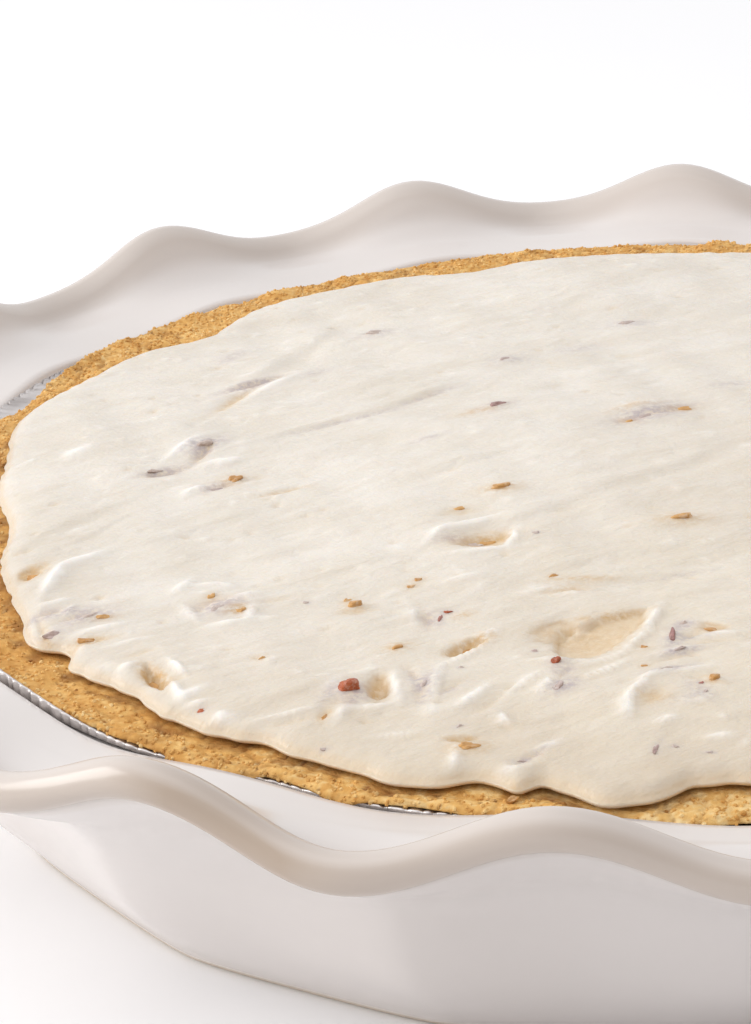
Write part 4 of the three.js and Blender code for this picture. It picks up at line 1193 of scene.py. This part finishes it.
LAPS = [  # x, y, turn, half length, half width, height: the high side is to the left of the direction of travel
    (-50, 11.5, 30, 10, 0.9, 0.5), (-37, 21.5, 42, 9, 0.9, 0.48), (-58, 47, 67, 14, 1.7, 0.5),
    (-63.4, 36, 70, 13, 1.4, 0.36), (-17.5, -29, 40, 8, 1.3, 0.48), (-4, -17, 38, 10, 1.5, 0.52),
    (6.5, -7, 52, 8, 1.5, 0.46), (-7, -35.5, 14, 14, 1.3, 0.34), (-38, 33, 34, 16, 2, 0.3),
    (-12, 27, 31, 15, 2, 0.36), (8, -2, 30, 13, 1.8, 0.3), (-66, -28, 38, 11, 1.4, 0.32),
    (-30, -10, 30, 13, 1.4, 0.34), (-52, -38, 34, 10, 1.3, 0.32), (-8, -44, 22, 12, 1.3, 0.3),
    (-3, -49.6, 12, 10, 0.8, 0.36), (4, -55.6, 16, 7, 0.8, 0.2), (-34, -62, 32, 9, 1, 0.28),
    (-48, -84, 36, 9, 1.1, 0.3), (-44, -46, 30, 8, 1, 0.3), (-20, -94, 20, 9, 1, 0.16),
    (6, -93, 14, 8, 1, 0.16), (-84, -24, 52, 12, 1.5, 0.34), (-20, 62, 30, 14, 2.2, 0.36),
    (10, 40, 30, 16, 2, 0.38), (38, 20, 30, 18, 1.9, 0.4), (52, -20, 34, 15, 1.7, 0.38),
    (40, -52, 26, 14, 1.5, 0.36), (66, 34, 40, 15, 2, 0.38), (28, 72, 24, 15, 2, 0.36),
    (74, -38, 52, 12, 1.7, 0.36), (24, -78, 18, 11, 1.3, 0.34), (48, 52, 30, 16, 1.9, 0.36),
]
# how much stronger the marks are than written, and how sharp their crests: 2 is a round hill, 1 a keen edge
MARK_GAIN, LAP_GAIN, KEEN = 1.15, 0.5, 1.4


def seeded_marks(seed, count, reach, long, wide, high, lean):
    """Small marks all over: rows of x, y, turn, half length, half width, height."""
    draw = make_random(seed)
    rows = []
    for _ in range(count):
        r, t = reach * math.sqrt(draw()), TAU * draw()
        turn, half_long = lean + 60 * (draw() - 0.5), long[0] + long[1] * draw() ** 2
        half_wide, up = wide[0] + wide[1] * draw(), high[0] + high[1] * draw()
        rows.append((r * math.sin(t), -r * math.cos(t), turn, half_long, half_wide, up * (1 if draw() < 0.5 else -1)))
    return rows


def outline_distance(x, y, corners):
    """Distance to a closed outline, less than nothing inside it."""
    near, inside = np.full(x.shape, 99.0), np.zeros(x.shape, bool)
    for (ax, ay), (bx, by) in zip(corners, corners[1:] + corners[:1]):
        ex, ey = bx - ax, by - ay
        along = np.clip(((x - ax) * ex + (y - ay) * ey) / (ex * ex + ey * ey), 0, 1)
        near = np.minimum(near, np.hypot(x - ax - along * ex, y - ay - along * ey))
        inside ^= ((ay > y) != (by > y)) & (x < ax + (y - ay) * ex / (ey or 1e-9))
    return np.where(inside, -near, near)


def add_mark(z, x, y, at_x, at_y, turn, long, wide, high, lap=False, bend=0.0, keen=2.0):
    """Adds one mark in place, touching only the points near it."""
    reach = 2.6 * max(long, wide) + 2
    near = np.nonzero((np.abs(x - at_x) < reach) & (np.abs(y - at_y) < reach))[0]
    u, v = turned(x[near], y[near], at_x, at_y, math.radians(turn))
    v = (v - bend * u * u) / wide
    across = v * np.exp(0.5 - 0.5 * v * v) if lap else np.exp(-np.abs(v) ** keen)
    z[near] += high * across * np.exp(-((u / long) ** 2))


def face_layers(x, y):
    """The plain face, all that the marks add to it, and three paints: painted highlights on the crests, painted shade
    in the hollows and a painted shadow line along their edges.
    """
    z, crest, sunk, edge_shadow = (np.zeros_like(x) for _ in range(4))
    for n, (*place, high) in enumerate(LAPS):
        add_mark(z, x, y, *place, LAP_GAIN * high, lap=True, bend=0.004 * (1 if n % 2 else -1))
    for row in seeded_marks(61, 230, 98, (1.8, 4.2), (0.4, 0.4), (0.03, 0.10), 29):
        add_mark(z, x, y, *row, lap=True, bend=0.006)
    for *place, high in seeded_marks(67, 1100, 99, (0.5, 1.3), (0.35, 0.45), (0.05, 0.18), 30):
        add_mark(z, x, y, *place, high, keen=1.5)
        # a painted highlight on each little hill
        add_mark(crest, x, y, *place, 1.6 * max(high, 0))
    for *place, high in seeded_marks(71, 260, 99, (0.5, 0.6), (0.35, 0.3), (0.12, 0.24), 30):
        add_mark(z, x, y, *place, -abs(high))
        # painted shade in each little pit
        add_mark(sunk, x, y, *place, 1.5 * abs(high))
    for *place, long, wide, high in MARKS:
        add_mark(z, x, y, *place, long, 0.8 * wide, MARK_GAIN * high, keen=KEEN)
        # a painted highlight on each listed hill, painted shade in each listed hole
        paint = crest if high > 0 else sunk
        add_mark(paint, x, y, *place, 0.9 * long, 0.7 * wide, min(1.0, 1.5 * abs(high)), keen=1.7)
    for *place, wide, high in seeded_marks(83, 150, 95, (1.4, 3.2), (0.5, 0.5), (0.22, 0.5), 30):
        if unlisted(*place[:2], 14):
            add_mark(z, x, y, *place, wide, high, keen=KEEN)
            add_mark(crest if high > 0 else sunk, x, y, *place, 0.8 * wide, 1.4 * abs(high), keen=1.7)
    for deep, painted_shade, corners in HOLLOWS:
        middle, reach = np.mean(corners, axis=0), np.ptp(corners, axis=0) / 2 + 3
        near = np.nonzero((np.abs(x - middle[0]) < reach[0]) & (np.abs(y - middle[1]) < reach[1]))[0]
        d = outline_distance(x[near], y[near], corners)
        z[near] -= deep * smooth(0.45, -0.45, d)
        # painted shade on the hollow's floor and a painted shadow line along its outline
        sunk[near] += painted_shade * smooth(0.15, -0.35, d)
        edge_shadow[near] += (0.3 + 0.5 * painted_shade) * np.exp(-((d + 0.15) / 0.26) ** 2)
    for at_x, at_y, long, wide, high, turn, _, _ in ALL_BITS:
        add_mark(z, x, y, at_x, at_y, turn, 0.75 * long, 0.9 * wide + 0.5, 0.28 * high)
    live = smooth(0.3, 3.0, cream_edge(np.arctan2(x, -y)) - np.hypot(x, y))
    return plain_face(x, y), z * live, crest * live, sunk * live, edge_shadow * live


# %% The cream's skin
CREAM_COLUMNS, CREAM_HIDDEN = 900, 180  # points on the outermost ring, and on a hidden one
HIDDEN_RINGS, SIDE_RINGS = 3, 4
UNEVEN_BAND = 12  # this far in, the rings still follow the uneven edge


def ring_angles(count, dense):
    """Angles round the pie, closer together over the front and the left."""
    fine = np.linspace(0, TAU, 4001)
    weight = 1 + dense * (1 + np.cos(fine + math.radians(62))) / 2
    run = np.concatenate([[0], np.cumsum((weight[1:] + weight[:-1]) / 2)])
    return np.interp(np.arange(count) / count * run[-1], run, fine)


def cream_rings():
    """Rings from the hidden floor of the bowl up round the bead and in to the middle."""
    bowl = CRUST_INNER - CREAM_GAP
    floor = TIN_BASE + TIN_FOIL + CRUST_GAP + CRUST_FLOOR + CREAM_GAP
    plain = full_circle(CREAM_HIDDEN)
    rings = [spot(72.0, plain, floor), spot(77.0, plain, floor + 3), spot(bowl, plain, CREAM_UNDER)]
    t = ring_angles(CREAM_COLUMNS, 0.8)
    edge = cream_edge(t)
    for back, up in ((0.9, 0.0), (0.45, 0.12), (0.12, 0.42), (0.0, 0.8)):
        rings.append(spot(edge - back, t, CREAM_UNDER + up))
    inset = 0.25
    while inset < 101.5:
        count = int(max(14, CREAM_COLUMNS * (1 - inset / 104) * (1 - 0.24 * smooth(3, 14, inset))))
        t = ring_angles(count, 0.8 * smooth(102, 40, inset))
        edge = cream_edge(t)
        rounded = (edge - UNEVEN_BAND) * (EDGE_MEAN - inset) / (EDGE_MEAN - UNEVEN_BAND)
        rings.append(spot(np.where(inset < UNEVEN_BAND, edge - inset, rounded), t, 0.0))
        inset += 0.34 + 0.16 * smooth(2, 12, inset) + 0.20 * smooth(36, 60, inset) + 0.2 * smooth(70, 90, inset)
    return rings, floor


def all_stains():
    """The colour round and over every nut: x, y, half length, half width, turn, how strong, what shows."""
    rows = [(x, y, 1.1 * long, 1.2 * wide, turn, 0.8, show) for x, y, long, wide, _, turn, show, _ in ALL_BITS]
    rows += [(x, y, 0.9 * long, 0.9 * wide, turn, 0.7, show) for x, y, long, wide, turn, show in ALL_SPECKS]
    return rows + STAINS


def make_cream():
    rings, floor = cream_rings()
    points, faces = skin(rings, (0, 0, floor), (0, 0, 0))
    starts = np.cumsum([0] + [len(ring) for ring in rings])
    top = np.arange(starts[HIDDEN_RINGS + SIDE_RINGS], len(points))
    top = top[top != len(points) - 2]  # that one is the middle of the floor
    x, y = points[top, 0], points[top, 1]
    plain, marks, highlight, hollow_shade, edge_shadow = face_layers(x, y)
    points[top, 2] = plain + marks
    sunk, crest, rim, tan, veil, brown = (np.zeros(len(points)) for _ in range(6))
    t = np.arctan2(x, -y)
    inset = cream_edge(t) - np.hypot(x, y)
    thin = smooth(1.5, 0.4, inset)  # the crust shows through the thin edge
    # painted shade in the hollows, with the tan thin edge where the crust shows through; the bead's side gets the same
    # tan
    sunk[top] = np.clip(0.35 * np.clip(-marks - 0.05, 0, 1) + hollow_shade + 0.6 * thin, 0, 1)
    sunk[starts[HIDDEN_RINGS]:top[0]] = 0.6
    # painted highlights on the crests and high places
    crest[top] = np.clip(0.3 * np.clip(marks - 0.15, 0, 1) + highlight, 0, 1)
    # a painted shadow line along the hollows' edges
    brown[top] = edge_shadow
    # painted shade along the front edge
    rim[top] = smooth(24, 2, inset) * np.clip(np.cos(t + 0.2), 0, 1)
    for at_x, at_y, long, wide, turn, strong, show in all_stains():
        u, v = turned(x, y, at_x, at_y, math.radians(turn))
        (tan if show == FLESH else veil)[top] += strong * np.exp(-((u / long) ** 2) - ((v / wide) ** 2))
    points[:, 0] += TIN_X
    layers = {"sunk": sunk, "crest": crest, "rim": rim}
    layers.update(tan=np.clip(tan, 0, 1), veil=np.clip(veil, 0, 1), brown=np.clip(brown, 0, 1))
    return make_mesh("pecan_cream", points, faces, layers)


# %% [markdown]
# ## The finish of the cream
# Whipped cream is pale ivory, and light travels a little way inside it, which
# softens every shadow. The butterfat gives a low, wide gloss. Where a nut lies
# just under the face its colour shows through: lilac grey over the skin, tan
# over the flesh. Painted layers carry those two stains, painted shade in the
# hollows with a painted shadow line along their edges, the tan thin edge where
# the crust shows through, painted highlights on the crests and painted shade
# along the front edge. A painted sheen makes the back and left cooler and
# whiter than the front.

# %% Cream finish


def cream_finish():
    f = Finish("pecan_cream")
    place = f.add("ShaderNodeSeparateXYZ", {"Vector": f.place}).outputs
    # painted light: a painted sheen makes the back and left cooler and whiter, and painted shade makes the front right
    # warmer
    slant = f.add("ShaderNodeMath", {0: place["X"], 1: -1.33, 2: place["Y"]}, operation="MULTIPLY_ADD").outputs[0]
    painted_sheen_side = f.fade(slant, -95 * MM, 45 * MM, how="SMOOTHSTEP")
    warm = f.ramp(f.noise(26, 3.0), [(0.34, srgb(214, 202, 185)), (0.66, srgb(221, 211, 195))])
    cool = f.ramp(f.noise(22, 3.0), [(0.34, srgb(218, 210, 198)), (0.66, srgb(226, 219, 209))])
    streak = f.noise(5.0, 3.0, 0.6, (0.5, 1.2, 1.0), turn=30)
    streak = f.ramp(streak, [(0.38, (0.965, 0.95, 0.925)), (0.62, (1.0, 1.0, 1.0))])
    colour = f.mix(1.0, f.mix(painted_sheen_side, warm, cool), streak, "MULTIPLY")
    # painted shade along the front edge
    colour = f.mix(f.painted("rim"), colour, f.mix(1.0, colour, (0.93, 0.905, 0.87), "MULTIPLY"))
    # painted shade in the hollows, and the tan thin edge
    colour = f.mix(f.times(f.painted("sunk"), 0.75), colour, srgb(219, 195, 160))
    # painted highlights on the crests
    colour = f.mix(f.times(f.painted("crest"), 0.9), colour, srgb(246, 243, 238))
    # a painted shadow line along the hollows' edges
    colour = f.mix(f.painted("brown"), colour, srgb(190, 160, 122))
    mottle = f.ramp(f.noise(1.1, 3.0, 0.65), [(0.36, 0.15), (0.58, 1.0)])
    colour = f.mix(f.times(f.painted("veil"), mottle), colour, srgb(186, 174, 172))
    colour = f.mix(f.times(f.painted("tan"), mottle), colour, srgb(200, 166, 118))
    gloss = f.ramp(f.noise(4.0, 2.0), [(0.3, 0.28), (0.7, 0.42)])
    wrinkles = f.bump(f.noise(2.8, 3.0, 0.6, (0.55, 1.2, 1.0), turn=30), 0.35)
    skin_bump = f.bump(f.noise(0.8, 3.0), 0.08, wrinkles)
    f.shader.subsurface_method = "RANDOM_WALK"
    return f.set(
        Base_Color=colour, Roughness=gloss, Normal=skin_bump, IOR=1.42, Subsurface_Weight=0.25,
        Subsurface_Radius=(1.0, 0.75, 0.5), Subsurface_Scale=0.9 * MM, Specular_IOR_Level=0.5,
    )


CREAM = cream_finish()
cream = make_cream()
cream.data.materials.append(CREAM)
print("cream:", triangles(cream), "triangles,", round(volume(cream)), "cm3")

# %% [markdown]
# ## Chopped pecans
# Chopped nuts break into flat, blunt chips: one side keeps the thin red-brown
# skin, the rest is tan flesh. Five chip shapes are enough, because each one is
# stretched, turned and sunk differently. A Geometry Nodes tree called *sprinkle*
# puts a shape on every listed point and reads its size and turn from named
# layers of the points; each chip keeps its point's tone.

# %% Chip and grain shapes


def lump(name, seed, steps, rough, blunt=1.0):
    """A rough rounded lump one millimetre in radius, of 20, 80 or 320 faces."""
    body = bmesh.new()
    bmesh.ops.create_icosphere(body, subdivisions=steps, radius=1.0)
    wave_a, wave_b = waves(seed, 5, 1.1, 2.6), waves(seed + 1, 5, 1.1, 2.6)
    for v in body.verts:
        x, y, z = v.co
        swell = wave_a(np.array(x + 2 * z), np.array(y - z)) + wave_b(np.array(z), np.array(x - y))
        v.co = Vector((x, y, z)) * (1 + rough * float(swell) / 2)
        v.co = Vector(math.copysign(abs(c) ** blunt, c) for c in v.co)
        v.co *= MM
    mesh = bpy.data.meshes.new(name)
    body.to_mesh(mesh)
    body.free()
    return bpy.data.objects.new(name, mesh)


def shape_box(name, shapes):
    box = bpy.data.collections.new(name)
    for shape in shapes:
        box.objects.link(shape)
    return box


CHIPS = shape_box("chips", [lump(f"chip_{n}", 200 + 7 * n, 3, 0.26, 0.8) for n in range(5)])
SPECK_SHAPES = shape_box("speck_shapes", [lump(f"speck_{n}", 300 + 7 * n, 2, 0.28) for n in range(4)])
GRAINS = shape_box("grains", [lump(f"grain_{n}", 400 + 7 * n, 1, 0.16) for n in range(5)])

# %% The sprinkle tree


def sprinkle_tree():
    g = Tree("sprinkle", Shapes="Collection", Seed="Int", Material="Material")
    points = g.add("GeometryNodeMeshToPoints", {"Mesh": g.inputs["Geometry"]})
    turn, size = g.layer("turn", "FLOAT_VECTOR"), g.layer("size", "FLOAT_VECTOR")
    return g.finish(g.scatter(points, g.inputs["Seed"], turn, size))


SPRINKLE = sprinkle_tree()


def points_object(name, places, sizes, turns, tones):
    mesh = bpy.data.meshes.new(name)
    mesh.from_pydata([tuple(c * MM for c in place) for place in places], [], [])
    for layer, rows in (("size", sizes), ("turn", turns)):
        data = mesh.attributes.new(layer, "FLOAT_VECTOR", "POINT").data
        data.foreach_set("vector", np.array(rows, dtype=np.float32).ravel())
    mesh.attributes.new("tone", "FLOAT", "POINT").data.foreach_set("value", np.array(tones, dtype=np.float32))
    return link(bpy.data.objects.new(name, mesh))


# %% [markdown]
# ## Nut skin, flesh and what lies under the cream
# One material serves all the nuts, because each chip carries a tone: low for
# the red-brown skin, high for the tan flesh, middle for a nut seen through a
# film of cream. The colour ramp turns the tone into those three finishes, and
# a broken film of cream is laid over each from a noise.

# %% Pecan finish


def pecan_finish():
    f = Finish("pecan_nut")
    grain = f.noise(0.8, 4.0, 0.6)
    nut = f.ramp(f.painted("tone"), [
        (0.0, srgb(150, 66, 28)), (0.18, srgb(192, 100, 50)), (0.32, srgb(152, 108, 104)), (0.50, srgb(190, 174, 168)),
        (0.62, srgb(198, 182, 172)), (0.80, srgb(196, 144, 80)), (1.0, srgb(212, 166, 102)),
    ])
    worn = f.ramp(grain, [(0.32, (0.74, 0.66, 0.58)), (0.60, (1.0, 1.0, 1.0))])
    film = f.ramp(f.noise(1.3, 3.0, 0.6), [(0.58, 0.0), (0.68, 0.3)])
    colour = f.mix(film, f.mix(0.8, nut, worn, "MULTIPLY"), srgb(232, 220, 204))
    gloss = f.ramp(grain, [(0.3, 0.35), (0.7, 0.6)])
    return f.set(Base_Color=colour, Roughness=gloss, Normal=f.bump(grain, 0.12), Coat_Weight=0.15, Coat_Roughness=0.25)


PECAN = pecan_finish()

# %% Lay the nuts in the cream


def lay(name, rows, shapes, seed, pick, lean, uneven):
    """Puts a shape at each row of x, y, long, wide, high, turn, what shows and how high its middle is set."""
    draw = make_random(seed)
    plain, marks = face_layers(*(np.array([row[k] for row in rows], dtype=float) for k in (0, 1)))[:2]
    places, sizes, turns, tones = [], [], [], []
    for (x, y, long, wide, high, turn, show, raised), z in zip(rows, plain + marks):
        places.append((x + TIN_X, y, z + raised * high))
        sizes.append((long / 2, wide / 2, high / 2))
        turns.append((lean * (draw() - 0.5), lean * (draw() - 0.5), math.radians(turn)))
        tones.append(show + uneven * (draw() - 0.5))
    nuts = points_object(name, places, sizes, turns, tones)
    return apply_tree(nuts, SPRINKLE, Shapes=shapes, Seed=pick, Material=PECAN)


bit_rows = [(*row[:7], (0.5 if row[6] == VEILED else 1.0) * row[7] - 0.5) for row in ALL_BITS]
speck_rows = [(x, y, long, wide, 0.75 * wide, turn, show, -0.12) for x, y, long, wide, turn, show in ALL_SPECKS]
pecan_pieces = lay("pecan_pieces", bit_rows, CHIPS, 500, 3, 0.3, 0.16)
pecan_specks = lay("pecan_specks", speck_rows, SPECK_SHAPES, 501, 4, 0.5, 0.2)
print("pecans:", triangles(pecan_pieces) + triangles(pecan_specks), "triangles")

# %% [markdown]
# ## Grains that stand up
# Relief alone leaves the crust a little soft, because a height can't overhang.
# Real grains sit on top of each other, so a second tree called *grit* spreads
# thousands of small angular grains over the bare part of the rim. It reads the
# painted layer `bare`, so none of them hides under the cream.

# %% The grit tree


def grit_tree():
    g = Tree("grit", Shapes="Collection", Density="Float", Seed="Int", Smallest="Float", Largest="Float",
             Material="Material")
    smallest, largest = g.inputs["Smallest"], g.inputs["Largest"]
    density = g.times(g.math("POWER", g.layer("bare"), 3.0), g.inputs["Density"])
    points = g.add("GeometryNodeDistributePointsOnFaces", {
        "Mesh": g.inputs["Geometry"], "Density": density, "Seed": g.inputs["Seed"],
    })
    turn = g.random("FLOAT_VECTOR", (0, 0, 0), (TAU, TAU, TAU), 6)
    draw = g.random("FLOAT", 0.0, 1.0, 7)
    size = g.math("MULTIPLY_ADD", g.math("POWER", draw, 2.5), g.math("SUBTRACT", largest, smallest), smallest)
    put = {"Geometry": g.scatter(points, 5, turn, size), "Name": "shade", "Value": g.random("FLOAT", 0.15, 1.0, 8)}
    return g.finish(g.add("GeometryNodeStoreNamedAttribute", put, data_type="FLOAT", domain="INSTANCE"))


GRIT_DENSITY, GRIT_SMALLEST, GRIT_LARGEST = 1.1e6, 0.20, 0.40
grit = apply_tree(
    link(bpy.data.objects.new("crust_grit", crust.data.copy())), grit_tree(), Shapes=GRAINS, Density=GRIT_DENSITY,
    Seed=12, Smallest=GRIT_SMALLEST, Largest=GRIT_LARGEST, Material=CRUMBS,
)
print("grit:", triangles(grit), "triangles")

# %% [markdown]
# ## Hand the pieces to the model
# The plain solids stay in the physics model, hidden, and a table pairs each
# detailed piece with the solid it stands for. Everything rides on the one body,
# because nothing here moves.

# %% Floor
FLOOR_HALF = 3000.0


def make_floor():
    f = Finish("pale_table")
    colour = f.ramp(f.noise(400, 2.0), [(0.3, (0.91, 0.91, 0.92)), (0.7, (0.93, 0.93, 0.94))])
    f.set(Base_Color=colour, Roughness=0.55)
    corners = FLOOR_HALF * np.array([(-1, -1, 0), (1, -1, 0), (1, 1, 0), (-1, 1, 0)])
    floor = make_mesh("floor", corners, [(0, 1, 2, 3)])
    floor.data.materials.append(f.material)


make_floor()

# %% Clear the workshop and list the pieces
for box in (CHIPS, SPECK_SHAPES, GRAINS):
    for shape in list(box.objects):
        bpy.data.objects.remove(shape)
    bpy.data.collections.remove(box)

PIECES = {
    "pie_dish": ("dish_glaze", [dish]), "foil_tin": ("foil", [tin]), "crumb_crust": ("crumb_crust", [crust, grit]),
    "pecan_filling": ("pecan_cream", [cream, pecan_pieces, pecan_specks]),
}
for node, (finish, pieces) in PIECES.items():
    for piece in pieces:
        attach(piece, "root")
        print(piece.name, triangles(piece), "triangles", round(volume(piece), 1), "cm3")
    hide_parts(node)

# %% Import json
import json
